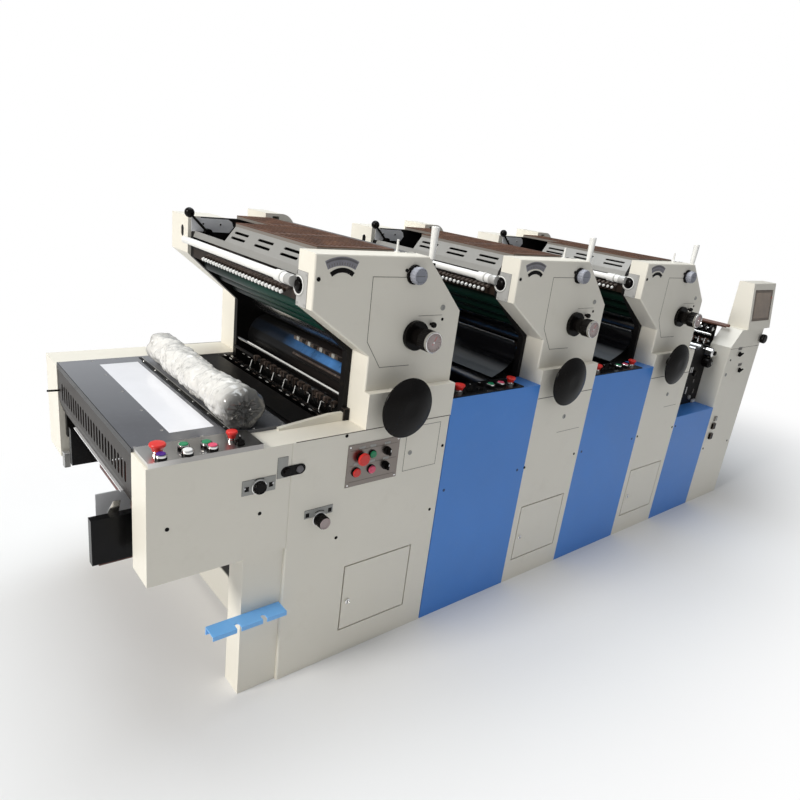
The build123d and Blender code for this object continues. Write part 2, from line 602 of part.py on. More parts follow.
# Sheet covers with louvre slots, the open grille over the rollers and the rear covers
louvre_rise = COVER_Z - LIP_TOP
louvre_sheet = Vector(LOUVRE_RUN, 0, louvre_rise)
louvre_slope = louvre_sheet.normalized()
louvre_normal = Vector(-louvre_slope.Z, 0, louvre_slope.X)
louvre_inset = Vector(-louvre_normal.X, 0, -louvre_normal.Z) * SHEET
with BuildPart() as louvre_covers:
    for front in TOWER_X:
        foot = front - NOSE_REACH + LIP_X
        bend = foot + LIP_LEAN
        side_profile([(foot, LIP_BOTTOM), (bend, LIP_TOP), (bend + SHEET, LIP_TOP),
                      (foot + SHEET, LIP_BOTTOM)], INSIDE_NEAR, INSIDE_FAR)
        side_profile([(bend, LIP_TOP), (bend + LOUVRE_RUN, COVER_Z),
                      (bend + LOUVRE_RUN + louvre_inset.X, COVER_Z + louvre_inset.Z),
                      (bend + louvre_inset.X, LIP_TOP + louvre_inset.Z)], INSIDE_NEAR, LOUVRE_FAR)
        middle = Vector(bend, INSIDE_NEAR + LOUVRE_PAIR_PITCH / 2, LIP_TOP) + louvre_sheet / 2
        with BuildSketch(Plane(origin=middle, x_dir=(0, 1, 0), z_dir=louvre_normal)) as slots:
            for pair in range(LOUVRE_PAIRS):
                for side in (-0.5, 0.5):
                    with Locations((pair * LOUVRE_PAIR_PITCH, side * LOUVRE_GAP)):
                        SlotOverall(LOUVRE_LENGTH, LOUVRE_HEIGHT)
        extrude(slots.sketch, amount=-2 * SHEET, mode=Mode.SUBTRACT)
save(louvre_covers, "louvre_covers")

# The grille leaves the corner above the open end of the fountain free for the ball lever
grille_start = LIP_X + LIP_LEAN + LOUVRE_RUN - NOSE_REACH
corner_end = FRONT_BOX_FLAT + FRONT_BOX_BEND - NOSE_REACH
grille_depth = DRIVE_INNER - OPERATOR_INNER
slot_length = (grille_depth - GRILLE_WEB * (GRILLE_ROWS + 1)) / GRILLE_ROWS
slot_pitch = (GRILLE_END - grille_start - GRILLE_WEB) / GRILLE_COLUMNS
with BuildPart() as top_grilles:
    for front in TOWER_X:
        with BuildSketch(Plane.XY.offset(COVER_Z)) as plate:
            with BuildLine():
                Polyline((front + grille_start, OPERATOR_INNER), (front + GRILLE_END, OPERATOR_INNER),
                         (front + GRILLE_END, DRIVE_INNER), (front + corner_end, DRIVE_INNER),
                         (front + corner_end, LOUVRE_FAR), (front + grille_start, LOUVRE_FAR), close=True)
            make_face()
            for column in range(GRILLE_COLUMNS):
                x = front + grille_start + GRILLE_WEB / 2 + slot_pitch * (column + 0.5)
                for row in range(GRILLE_ROWS):
                    y = OPERATOR_INNER + GRILLE_WEB + slot_length / 2 + row * (slot_length + GRILLE_WEB)
                    if x > front + corner_end + GRILLE_SLOT or y + slot_length / 2 < LOUVRE_FAR:
                        with Locations((x, y)):
                            SlotOverall(slot_length, GRILLE_SLOT, rotation=90, mode=Mode.SUBTRACT)
        extrude(plate.sketch, amount=GRILLE_THICK)
save(top_grilles, "top_grilles")

# Dark sheet behind the towers and curved guards over the sheet transfer to towers 2 and 3
with BuildPart() as sheet_guards:
    for front in TOWER_X:
        crest = front - NOSE_REACH + HEAD_TOP_LENGTH
        rear = front + CABINET_WIDTH - FRAME_INSET
        side_profile([(front + GRILLE_END, COVER_Z), (crest - SHEET, COVER_Z), (rear, CHAMFER_FOOT - SHEET),
                      (rear, PLINTH_TOP), (rear + SHEET, PLINTH_TOP), (rear + SHEET, CHAMFER_FOOT),
                      (crest, COVER_Z + SHEET), (front + GRILLE_END, COVER_Z + SHEET)],
                     OPERATOR_INNER, DRIVE_INNER)
    for front in TOWER_X[1:]:
        top = Vector(front + GUARD_TOP_X, GUARD_TOP_Z)
        waist = Vector(front + GUARD_WAIST_X, (GUARD_TOP_Z + GUARD_FOOT_Z) / 2)
        foot = Vector(front + GUARD_FOOT_X, GUARD_FOOT_Z)
        ahead = Vector(-SHEET, 0)
        with BuildSketch(side_plane(INSIDE_FAR)) as guard:
            with BuildLine():
                ThreePointArc(top, waist, foot)
                Line(foot, foot + ahead)
                ThreePointArc(foot + ahead, waist + ahead, top + ahead)
                Line(top + ahead, top)
            make_face()
        extrude(guard.sketch, amount=INSIDE_FAR - INSIDE_NEAR)
        with BuildSketch(Plane.YZ.offset(front)) as corner:
            with BuildLine():
                Polyline((INSIDE_NEAR, GUARD_FOOT_Z), (INSIDE_NEAR + GUARD_CORNER, GUARD_FOOT_Z),
                         (INSIDE_NEAR, GUARD_FOOT_Z + GUARD_CORNER_HEIGHT), close=True)
            make_face()
        extrude(corner.sketch, amount=2 * GUARD_FOOT_X, mode=Mode.SUBTRACT)
save(sheet_guards, "sheet_guards")

# Black fittings on the heads: a round dial behind each pressure knob and a clevis for each lever
chamfer_slope = (HEAD_TOP - CHAMFER_FOOT) / (NOSE_REACH + CABINET_WIDTH - HEAD_TOP_LENGTH)
chamfer_z = HEAD_TOP - LEVER_RUN * chamfer_slope
lever_x = HEAD_TOP_LENGTH - NOSE_REACH + LEVER_RUN
pivot_z = chamfer_z + LEVER_RISE
clevis_top = pivot_z + 2 * LEVER_PIN
lever_y = OPERATOR_FACE + LEVER_Y
with BuildPart() as head_fittings:
    for front in TOWER_X:
        rod(front + DIAL_X, DIAL_Z, HEAD_FACE - DIAL_THICK, HEAD_FACE, DIAL_RADIUS)
        x = front + lever_x
        for side in (-1, 1):
            ear = lever_y + side * (LEVER_HUB * 0.5 + SEAT_GAP + LEVER_EAR / 2)
            side_profile([(x - CLEVIS_HALF, clevis_top), (x + CLEVIS_HALF, clevis_top),
                          (x + CLEVIS_HALF, chamfer_z - CLEVIS_HALF * chamfer_slope),
                          (x - CLEVIS_HALF, chamfer_z + CLEVIS_HALF * chamfer_slope)],
                         ear - LEVER_EAR / 2, ear + LEVER_EAR / 2)
        pin_half = LEVER_HUB * 0.5 + SEAT_GAP + LEVER_EAR
        rod(x, pivot_z, lever_y - pin_half, lever_y + pin_half, LEVER_PIN)
save(head_fittings, "head_fittings")

for number, front in enumerate(TOWER_X):
    x = front + DIAL_X
    back_face = HEAD_FACE - DIAL_THICK - SEAT_GAP
    with BuildPart() as pressure_knob:
        rod(x, DIAL_Z, back_face - PRESSURE_KNOB_LENGTH, back_face - KNOB_NECK, PRESSURE_KNOB_RADIUS)
        fillet(pressure_knob.faces().sort_by(Axis.Y)[0].edges(), radius=KNOB_ROUND)
        rod(x, DIAL_Z, back_face - KNOB_NECK, back_face, PRESSURE_KNOB_RADIUS - KNOB_NECK)
    save(pressure_knob, f"pressure_knob_{number + 1}")

with BuildPart() as register_knobs:
    for front in TOWER_X:
        rod(front + REGISTER_X, REGISTER_Z, HEAD_FACE - REGISTER_LENGTH, HEAD_FACE, REGISTER_RADIUS)
    fillet(register_knobs.faces().filter_by(Axis.Y).group_by(Axis.Y)[0].edges(), radius=KNOB_ROUND)
save(register_knobs, "register_knobs")

# White grip levers standing on the chamfers in their clevises
for number, front in enumerate(TOWER_X):
    x = front + lever_x
    with BuildPart() as throw_lever:
        rod(x, pivot_z, lever_y - LEVER_HUB / 2, lever_y + LEVER_HUB / 2, LEVER_HUB - 1)
        upright(x, lever_y, pivot_z, pivot_z + LEVER_LENGTH - GRIP_LENGTH, LEVER_ROD)
        with BuildSketch(Plane.XY.offset(pivot_z + LEVER_LENGTH)):
            with Locations((x, lever_y)):
                Circle(GRIP_RADIUS)
        extrude(amount=-GRIP_LENGTH, taper=GRIP_TAPER)
        fillet(throw_lever.faces().sort_by(Axis.Z)[-1].edges(), radius=KNOB_ROUND)
        rod(x, pivot_z, lever_y - LEVER_HUB, lever_y + LEVER_HUB, LEVER_PIN + RUNNING_CLEARANCE, Mode.SUBTRACT)
    save(throw_lever, f"throw_lever_{number + 1}")

# Ball levers at the gear side end of each fountain
ball_direction = Vector(cos(radians(BALL_ROD_ANGLE)), 0, sin(radians(BALL_ROD_ANGLE)))
ball_neck = BALL_ROD_LENGTH - (BALL_RADIUS ** 2 - BALL_ROD_RADIUS ** 2) ** 0.5
for number, front in enumerate(TOWER_X):
    x = front + BALL_PIVOT_X
    hub_near = INSIDE_FAR - SEAT_GAP - BALL_HUB_THICK
    hub_middle = Vector(x, hub_near + BALL_HUB_THICK / 2, BALL_PIVOT_Z)
    with BuildPart() as ball_lever:
        rod(x, BALL_PIVOT_Z, hub_near, INSIDE_FAR - SEAT_GAP, BALL_HUB)
        rod(x, BALL_PIVOT_Z, INSIDE_FAR - SEAT_GAP, DRIVE_INNER, PIN_RADIUS)
        with BuildSketch(Plane(origin=hub_middle, x_dir=ball_direction, z_dir=(0, 1, 0))):
            with BuildLine():
                Polyline((0, 0), (0, BALL_ROD_RADIUS), (ball_neck, BALL_ROD_RADIUS))
                ThreePointArc((ball_neck, BALL_ROD_RADIUS), (BALL_ROD_LENGTH, BALL_RADIUS),
                              (BALL_ROD_LENGTH + BALL_RADIUS, 0))
                Line((BALL_ROD_LENGTH + BALL_RADIUS, 0), (0, 0))
            make_face()
        revolve(axis=Axis(hub_middle, ball_direction))
    save(ball_lever, f"ball_lever_{number + 1}")

# Delivery side boxes on their legs
with BuildPart() as delivery_sides:
    slab(DELIVERY_END, BODY_START, OPERATOR_FACE, OPERATOR_INNER, DELIVERY_BOTTOM, SHELF)
    slab(DELIVERY_END, BODY_START, DRIVE_INNER, DRIVE_FACE, DELIVERY_BOTTOM, SHELF)
    for y0 in (OPERATOR_FACE + LEG_INSET, DRIVE_FACE - LEG_INSET - LEG_DEPTH):
        slab(BODY_START - LEG_WIDTH, BODY_START, y0, y0 + LEG_DEPTH, 0, DELIVERY_BOTTOM)
save(delivery_sides, "delivery_sides")

# Dark delivery cover with its window opening and a slot behind it
cover_start = DELIVERY_END + PANEL_INSET
window_start = cover_start + WINDOW_START
window_depth = DRIVE_INNER - OPERATOR_INNER - 2 * WINDOW_MARGIN
with BuildPart() as delivery_cover:
    slab(cover_start, BODY_START + COVER_REACH, OPERATOR_INNER, DRIVE_INNER, ARM_TOP, COVER_TOP)
    with BuildSketch(Plane.XY.offset(ARM_TOP)) as openings:
        with Locations((window_start + WINDOW_LENGTH / 2, INSIDE_MIDDLE)):
            Rectangle(WINDOW_LENGTH, window_depth)
        with Locations((window_start + WINDOW_LENGTH + SLOT_PLACE, INSIDE_MIDDLE)):
            Rectangle(SLOT_WIDTH, window_depth)
    extrude(openings.sketch, amount=COVER_TOP - ARM_TOP, mode=Mode.SUBTRACT)
save(delivery_cover, "delivery_cover")

with BuildPart() as delivery_window:
    slab(window_start, window_start + WINDOW_LENGTH, OPERATOR_INNER + WINDOW_MARGIN,
         DRIVE_INNER - WINDOW_MARGIN, COVER_TOP - WINDOW_THICK, COVER_TOP)
save(delivery_window, "delivery_window")

# End panel with a row of upright vent slots
with BuildPart() as vent_panel:
    vent_bend = VENT_BOTTOM + VENT_FOLD_HEIGHT
    side_profile([(cover_start, ARM_TOP), (cover_start, vent_bend), (cover_start + VENT_FOLD, VENT_BOTTOM),
                  (cover_start + VENT_FOLD + SHEET, VENT_BOTTOM), (cover_start + SHEET, vent_bend),
                  (cover_start + SHEET, ARM_TOP)], OPERATOR_INNER, DRIVE_INNER)
    with BuildSketch(Plane.YZ.offset(cover_start)) as vents:
        with Locations((INSIDE_MIDDLE, VENT_Z)):
            with GridLocations((DRIVE_INNER - OPERATOR_INNER - VENT_MARGIN) / VENT_SLOTS, 1, VENT_SLOTS, 1):
                SlotOverall(VENT_SLOT_HEIGHT, VENT_SLOT_WIDTH, rotation=90)
    extrude(vents.sketch, amount=SHEET, mode=Mode.SUBTRACT)
save(vent_panel, "vent_panel")

# Deck and gripper bars between the delivery cover and tower 1
with BuildPart() as delivery_deck:
    slab(BODY_START + COVER_REACH, BODY_START + STRIP_START + STRIP_WIDTH, INSIDE_NEAR, INSIDE_FAR,
         ARM_TOP - DECK_THICK, ARM_TOP)
    slab(BODY_START + STRIP_START, BODY_START + STRIP_START + STRIP_WIDTH, OPERATOR_INNER, DRIVE_INNER,
         ARM_TOP, ARM_TOP + DECK_THICK)
save(delivery_deck, "delivery_deck")

gripper_z = ARM_TOP - GRIPPER_WIDTH / 2
with BuildPart() as gripper_bars:
    for bar in range(GRIPPER_BARS):
        x = BODY_START + FIRST_GRIPPER + bar * GRIPPER_PITCH
        slab(x, x + GRIPPER_WIDTH, INSIDE_NEAR, INSIDE_FAR, gripper_z, gripper_z + GRIPPER_WIDTH)
    rod(TOWER_X[0] - TIE_LEAD, TIE_Z, INSIDE_NEAR, INSIDE_FAR, TIE_RADIUS)
save(gripper_bars, "gripper_bars")

# Spare roller wrapped in film, lying across the cover at an angle
roll_near = Vector(BODY_START - ROLL_NEAR_LEAD, OPERATOR_FACE + ROLL_NEAR_Y, COVER_TOP + ROLL_RADIUS)
roll_far = Vector(BODY_START - ROLL_FAR_LEAD, OPERATOR_FACE + ROLL_FAR_Y, COVER_TOP + ROLL_RADIUS)
with BuildPart() as wrapped_roller:
    with BuildSketch(Plane(origin=roll_near, z_dir=roll_far - roll_near)):
        Circle(ROLL_RADIUS)
    extrude(amount=(roll_far - roll_near).length)
    fillet(wrapped_roller.edges().filter_by(GeomType.CIRCLE), radius=ROLL_END_ROUND)
save(wrapped_roller, "wrapped_roller")

# Blue sheet bracket on the near leg, bent down at its front and back, with two notches in its front edge
bracket_back = OPERATOR_FACE + LEG_INSET
bracket_front = bracket_back - BRACKET_DEPTH
bracket_left = BODY_START - BRACKET_START
lip_z = BRACKET_Z - BRACKET_LIP
flange_z = BRACKET_Z - BRACKET_FLANGE
with BuildPart() as step_bracket:
    with BuildSketch(Plane.YZ.offset(bracket_left)) as bent_sheet:
        with BuildLine():
            Polyline((bracket_front, lip_z), (bracket_front, BRACKET_Z), (bracket_back, BRACKET_Z),
                     (bracket_back, flange_z), (bracket_back - SHEET, flange_z),
                     (bracket_back - SHEET, BRACKET_Z - SHEET), (bracket_front + SHEET, BRACKET_Z - SHEET),
                     (bracket_front + SHEET, lip_z), close=True)
        make_face()
    extrude(bent_sheet.sketch, amount=BRACKET_LENGTH)
    with BuildSketch(Plane.XY.offset(BRACKET_Z)) as notches:
        for place in BRACKET_NOTCHES:
            with Locations((bracket_left + place, bracket_front)):
                SlotOverall(NOTCH_DEPTH, NOTCH_WIDTH, rotation=90)
    extrude(notches.sketch, amount=-BRACKET_LIP, mode=Mode.SUBTRACT)
save(step_bracket, "step_bracket")

# Pile guides and the board's carrier bars in one black set, and the pile board
guide_start = DELIVERY_END - PILE_REACH
guide_top = GUIDE_BOTTOM + GUIDE_HEIGHT
guide_near = OPERATOR_INNER + GUIDE_INSET
guide_far = DRIVE_INNER - GUIDE_INSET
board_start = DELIVERY_END + BOARD_START
carrier_z = BOARD_TOP - BOARD_THICK - CARRIER_THICK
with BuildPart() as pile_guides:
    for start, y0, frame_face in ((guide_start, guide_near, INSIDE_NEAR),
                                  (DELIVERY_END + FAR_GUIDE_START, guide_far - GUIDE_THICK, INSIDE_FAR)):
        slab(start, start + GUIDE_LENGTH, y0, y0 + GUIDE_THICK, GUIDE_BOTTOM, guide_top)
        arm_near, arm_far = sorted((frame_face, y0 + GUIDE_THICK / 2))
        for place in (0.5, 0.85):
            rod(start + GUIDE_LENGTH * place, guide_top - 2.5 * GUIDE_ARM_RADIUS, arm_near, arm_far,
                GUIDE_ARM_RADIUS)
    for x in (board_start + CARRIER_LEAD, BODY_START - LEG_WIDTH):
        slab(x, x + CARRIER_WIDTH, OPERATOR_INNER, DRIVE_INNER, carrier_z, carrier_z + CARRIER_THICK)
        for y0 in (OPERATOR_INNER, DRIVE_INNER - CARRIER_STRAP):
            slab(x, x + CARRIER_WIDTH, y0, y0 + CARRIER_STRAP, carrier_z + CARRIER_THICK, ARM_BOTTOM)
save(pile_guides, "pile_guides")

board_side = GUIDE_INSET - GUIDE_THICK
with BuildPart() as pile_board:
    slab(board_start, BODY_START - BOARD_THICK, OPERATOR_INNER + board_side, DRIVE_INNER - board_side,
         BOARD_TOP - BOARD_THICK, BOARD_TOP)
    slab(DELIVERY_END - TONGUE_REACH, board_start, OPERATOR_FACE + TONGUE_Y,
         OPERATOR_FACE + TONGUE_Y + TONGUE_WIDTH, BOARD_TOP - BOARD_THICK, BOARD_TOP)
save(pile_board, "pile_board")

# Control plates and push buttons
plate_start = DELIVERY_END + CONTROL_PLATE_INSET
button_plane_z = SHELF + CONTROL_PLATE_THICK
plate_left, plate_right, plate_bottom, plate_top = CABINET_PLATE
with BuildPart() as control_plates:
    slab(plate_start, plate_start + CONTROL_PLATE_LENGTH, OPERATOR_FACE, OPERATOR_INNER - PANEL_INSET,
         SHELF, button_plane_z)
    slab(BODY_START + plate_left, BODY_START + plate_right, OPERATOR_FACE - CABINET_PLATE_THICK, OPERATOR_FACE,
         plate_bottom, plate_top)
save(control_plates, "control_plates")

with BuildPart() as push_buttons:
    with BuildSketch(Plane.XY.offset(button_plane_z)) as on_delivery:
        for x, y, radius in DELIVERY_BUTTONS:
            with Locations((DELIVERY_END + x, OPERATOR_FACE + y)):
                Circle(radius)
    extrude(on_delivery.sketch, amount=BUTTON_HEIGHT)
    with BuildSketch(side_plane(OPERATOR_FACE - CABINET_PLATE_THICK)) as on_cabinet:
        for x, z, radius in CABINET_BUTTONS:
            with Locations((BODY_START + x, z)):
                Circle(radius)
    extrude(on_cabinet.sketch, amount=BUTTON_HEIGHT)
    with BuildSketch(Plane.XY.offset(BRIDGE_TOP + TRAY_THICK)) as on_trays:
        for left, right in bridge_spans()[:-1]:
            for x, y, radius in TRAY_BUTTONS:
                with Locations((left + x, OPERATOR_FACE + y)):
                    Circle(radius)
    extrude(on_trays.sketch, amount=BUTTON_HEIGHT)
save(push_buttons, "push_buttons")

# Feeder: side boxes, rollers and feed table
feeder_end = FEEDER_START + FEEDER_WIDTH
with BuildPart() as feeder_sides:
    feeder_outline = [(FEEDER_START, 0), (FEEDER_START, FEEDER_TOP - FEEDER_CHAMFER_Z),
                      (FEEDER_START + FEEDER_CHAMFER_X, FEEDER_TOP), (feeder_end, FEEDER_TOP), (feeder_end, 0)]
    side_profile(feeder_outline, OPERATOR_FACE, OPERATOR_INNER)
    side_profile(feeder_outline, DRIVE_INNER, DRIVE_FACE)
    round_front_edges(feeder_sides, OPERATOR_FACE, Axis.Z)
save(feeder_sides, "feeder_sides")

with BuildPart() as feeder_rollers:
    for x, z, radius in FEED_ROLLERS:
        rod(FEEDER_START + x, z, INSIDE_NEAR, INSIDE_FAR, radius)
save(feeder_rollers, "feeder_rollers")

with BuildPart() as feed_table:
    slab(FEEDER_START, feeder_end, OPERATOR_INNER, DRIVE_INNER, FEED_TABLE_Z, FEED_TABLE_Z + FEED_TABLE_THICK)
    slab(feeder_end - 2 * FEED_TIE_WIDTH, feeder_end - FEED_TIE_WIDTH, OPERATOR_INNER, DRIVE_INNER,
         FEED_TIE_Z, FEED_TIE_Z + FEED_TIE_HEIGHT)
save(feed_table, "feed_table")

# The operating console stands on the feeder and leans back, with its screen sunk into the leaning face
console_left = feeder_end + CONSOLE_OVERHANG - CONSOLE_WIDTH
console_foot = OPERATOR_FACE - CONSOLE_FOOT_REACH
console_back = OPERATOR_FACE + CONSOLE_DEPTH
screen_up = Vector(0, CONSOLE_LEAN, CONSOLE_HEIGHT).normalized()
screen_middle = (Vector(console_left + CONSOLE_WIDTH / 2, console_foot, FEEDER_TOP)
                 + screen_up * (SCREEN_FOOT + SCREEN_HEIGHT / 2))
with BuildPart() as console:
    with BuildSketch(Plane.YZ.offset(console_left)) as console_side:
        with BuildLine():
            Polyline((console_foot, FEEDER_TOP), (console_foot + CONSOLE_LEAN, FEEDER_TOP + CONSOLE_HEIGHT),
                     (console_back, FEEDER_TOP + CONSOLE_HEIGHT), (console_back, FEEDER_TOP), close=True)
        make_face()
    extrude(console_side.sketch, amount=CONSOLE_WIDTH)
    fillet(console.edges().filter_by(Axis.X).group_by(Axis.Z)[-1], radius=EDGE_ROUND)
    screen_plane = Plane(origin=screen_middle, x_dir=(1, 0, 0), z_dir=(0, -screen_up.Z, screen_up.Y))
    with BuildSketch(screen_plane) as screen:
        Rectangle(CONSOLE_WIDTH - 2 * SCREEN_MARGIN, SCREEN_HEIGHT)
    extrude(screen.sketch, amount=-SCREEN_SINK, mode=Mode.SUBTRACT)
save(console, "console")
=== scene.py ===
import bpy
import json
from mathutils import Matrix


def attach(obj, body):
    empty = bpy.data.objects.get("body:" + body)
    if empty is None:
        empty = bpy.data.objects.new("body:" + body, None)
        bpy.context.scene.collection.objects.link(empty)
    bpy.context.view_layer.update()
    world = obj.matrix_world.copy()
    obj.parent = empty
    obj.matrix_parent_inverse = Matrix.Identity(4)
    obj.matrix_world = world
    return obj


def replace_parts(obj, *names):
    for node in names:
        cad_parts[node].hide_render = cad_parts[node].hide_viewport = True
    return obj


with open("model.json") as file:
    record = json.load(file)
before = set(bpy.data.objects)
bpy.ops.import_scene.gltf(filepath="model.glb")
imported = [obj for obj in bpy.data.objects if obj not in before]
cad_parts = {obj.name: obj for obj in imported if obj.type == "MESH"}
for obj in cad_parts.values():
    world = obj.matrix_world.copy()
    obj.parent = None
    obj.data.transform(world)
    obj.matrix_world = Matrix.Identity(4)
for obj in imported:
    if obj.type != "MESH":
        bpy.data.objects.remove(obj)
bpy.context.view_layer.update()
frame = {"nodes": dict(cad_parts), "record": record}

import json
from math import cos, pi, radians, sin

import bmesh
import bpy
from mathutils import Matrix, Vector, noise

# Places are given in millimetres from the left edge of the first cabinet, the operator's face and the floor
CABINET_X = -1257.5
OPERATOR_Y = -474.0

# Main places of the press that the fittings share
TOWERS = (248.0, 1048.0, 1848.0)  # front faces of the three towers
CABINETS = ((0, 596), (1048, 1396), (1848, 2196))
HEAD_Y = 27.0  # the heads stand back from the cabinets
HEAD_TOP = 1323.0
PLINTH_SEAM = 812.0  # height of the long seam over the cabinets
FRAME_NEAR = 131.0  # inner faces of the two side frames
FRAME_FAR = 839.0
FEED_NEAR = 106.0  # inner faces of the feeder's sides
FEED_FAR = 864.0
GEAR_FACE = 1013.0  # outer face of the gear side
COVER_TOP = 822.0  # top of the delivery's cover
DOORS = (227.0, 1087.0, 1887.0)  # left edges of the access doors
DOOR_WIDTH = 270.0
GEAR_DOORS = (386.0, 1222.0, 2022.0)  # middles of the gear side's doors

# Directions
OUT = (0, -1, 0)  # towards the operator
BACK = (0, 1, 0)  # towards the gear side
UP = (0, 0, 1)
LEFT = (-1, 0, 0)  # towards the delivery
X, Y, Z = 0, 1, 2


def at(x, y, z):
    """Point in metres from a place in millimetres."""
    return Vector(((x + CABINET_X) / 1000, (y + OPERATOR_Y) / 1000, z / 1000))


# Materials

MATERIALS = {}
BLACK = "black_plastic"  # the look that most fittings share


def connect(tree, made, inputs):
    """Gives each named or numbered input of a shader node its value, or the output that feeds it."""
    for name, value in inputs.items():
        if isinstance(value, bpy.types.NodeSocket):
            tree.links.new(value, made.inputs[name])
        else:
            made.inputs[name].default_value = value


def node(tree, kind, inputs, **options):
    """New shader node with its options set and its inputs connected."""
    made = tree.nodes.new("ShaderNode" + kind)
    for option, value in options.items():
        setattr(made, option, value)
    connect(tree, made, inputs)
    return made


def surface(name, colour, rough, metal=0.0, spread=0.05, patch=3.0, grain=300.0, bump=0.05, rough_spread=0.08,
            stretch=(1, 1, 1), coat=0.0, specks=None, specular=0.5):
    """Material with clouded colour, uneven roughness, fine grain and optional specks, kept by its name.

    spread and patch are the clouds' strength and scale, bump and grain those of the grain, and specks are
    (colour, amount, scale).
    """
    made = bpy.data.materials.new(name)
    MATERIALS[name] = made
    made.use_nodes = True
    tree = made.node_tree
    place = node(tree, "TexCoord", {}).outputs["Object"]
    stretched = node(tree, "Mapping", {"Scale": stretch, "Vector": place}).outputs["Vector"]
    cloud = node(tree, "TexNoise", {"Scale": patch, "Detail": 6, "Roughness": 0.6, "Vector": place})
    fine = node(tree, "TexNoise", {"Scale": grain, "Detail": 3, "Vector": stretched})

    shades = node(tree, "ValToRGB", {"Fac": cloud.outputs["Fac"]})
    low, high = shades.color_ramp.elements
    low.position, high.position = 0.3, 0.7
    low.color = (*[max(0, c * (1 - spread)) for c in colour], 1)
    high.color = (*[min(1, c * (1 + spread)) for c in colour], 1)
    shade = shades.outputs["Color"]
    if specks is not None:
        tint, amount, scale = specks
        dots = node(tree, "TexNoise", {"Scale": scale, "Detail": 8, "Roughness": 0.7, "Vector": stretched})
        pick = node(tree, "MapRange", {"From Min": 0.56, "From Max": 0.72, "To Max": amount,
                                       "Value": dots.outputs["Fac"]})
        mix = node(tree, "Mix", {"A": shade, "B": (*tint, 1), "Factor": pick.outputs["Result"]},
                   data_type="RGBA")
        shade = mix.outputs["Result"]

    uneven = node(tree, "MapRange", {"To Min": max(0.02, rough - rough_spread),
                                     "To Max": min(1.0, rough + rough_spread), "Value": cloud.outputs["Fac"]})
    relief = node(tree, "Bump", {"Strength": bump, "Distance": 0.001, "Height": fine.outputs["Fac"]})
    connect(tree, tree.nodes["Principled BSDF"],
            {"Base Color": shade, "Metallic": metal, "Roughness": uneven.outputs["Result"],
             "Specular IOR Level": specular, "Coat Weight": coat, "Coat Roughness": 0.12,
             "Normal": relief.outputs["Normal"]})
    return made


surface("cream_paint", (0.78, 0.745, 0.655), 0.38, spread=0.025, patch=1.6, grain=420, bump=0.1,
        specks=((0.52, 0.47, 0.38), 0.12, 9))
surface("blue_paint", (0.050, 0.225, 0.66), 0.36, patch=2.2, grain=420, bump=0.1,
        specks=((0.09, 0.27, 0.66), 0.25, 8))
surface("sky_paint", (0.19, 0.49, 0.93), 0.34, patch=6, grain=420, bump=0.1)
for name, specks in (("frame_black", ((0.05, 0.036, 0.024), 0.5, 30)), ("base_black", None)):
    surface(name, (0.010, 0.0092, 0.009), 0.42, spread=0.3, patch=9, grain=160, bump=0.25, specular=0.1,
            specks=specks)
surface("guard_black", (0.012, 0.012, 0.014), 0.16, spread=0.25, patch=6, grain=240, bump=0.03, coat=0.5)
surface("black_sheet", (0.006, 0.0058, 0.0062), 0.24, spread=0.3, patch=12, bump=0.06, specular=0.14)
surface("vent_brown", (0.024, 0.0195, 0.0165), 0.42, spread=0.2, patch=7, grain=260, bump=0.15, specular=0.25,
        specks=((0.06, 0.048, 0.038), 0.3, 25))
surface("table_grey", (0.078, 0.08, 0.09), 0.2, spread=0.12, patch=5, bump=0.04, coat=0.35,
        specks=((0.2, 0.2, 0.21), 0.15, 45))
surface("grille_brown", (0.088, 0.038, 0.020), 0.5, spread=0.45, patch=16, grain=200, bump=0.3, specular=0.2,
        specks=((0.24, 0.13, 0.065), 0.8, 34))
surface("louvre_grey", (0.27, 0.265, 0.25), 0.34, patch=5, grain=380, bump=0.1,
        specks=((0.25, 0.24, 0.22), 0.2, 18))
surface("acrylic", (0.80, 0.80, 0.83), 0.22, spread=0.03, patch=7, grain=60, bump=0.12, coat=0.4,
        specks=((0.66, 0.64, 0.66), 0.3, 14))
surface("steel", (0.50, 0.50, 0.50), 0.24, metal=1.0, spread=0.12, patch=8, grain=90, stretch=(1, 12, 12))
surface("chrome", (0.78, 0.77, 0.75), 0.14, metal=1.0, spread=0.08, patch=30)
surface("fountain_dark", (0.022, 0.015, 0.011), 0.35, spread=0.4, patch=20, grain=200, bump=0.2,
        specks=((0.1, 0.06, 0.04), 0.5, 50), specular=0.15)
surface("ink_green", (0.0035, 0.042, 0.029), 0.4, spread=0.2, patch=6, grain=260, bump=0.03, specular=0.12)
# The blanket's dark specks are painted shade over the blue rubber
surface("blanket_blue", (0.06, 0.18, 0.42), 0.3, spread=0.3, patch=14, grain=260, bump=0.06, specular=0.2,
        specks=((0.02, 0.03, 0.05), 0.8, 16))
surface("black_plastic", (0.0050, 0.0042, 0.0038), 0.24, spread=0.3, patch=14, grain=420, specular=0.12)
surface("plate_steel", (0.40, 0.385, 0.37), 0.3, metal=1.0, spread=0.1, patch=8, grain=90,
        stretch=(1, 12, 12))
surface("grey_plastic", (0.26, 0.27, 0.31), 0.38, spread=0.1, patch=30, grain=420, bump=0.1)
surface("white_plastic", (0.80, 0.795, 0.77), 0.3, spread=0.03, patch=12)
surface("board_wood", (0.085, 0.018, 0.011), 0.5, spread=0.35, patch=14, grain=40, bump=0.2,
        stretch=(1, 14, 14))
surface("table_steel", (0.2, 0.195, 0.19), 0.4, spread=0.15, patch=6, grain=200, bump=0.1)
# The film's dark specks are painted shade in its creases
surface("film_wrap", (0.74, 0.725, 0.69), 0.2, spread=0.12, patch=26, grain=70, bump=0.9, rough_spread=0.1,
        coat=0.5, specks=((0.16, 0.15, 0.14), 0.85, 40))
# Near-white metal: a painted glint in place of the bright reflection on small metal parts
surface("polished", (0.88, 0.88, 0.86), 0.28, metal=0.25, patch=20, bump=0.03)
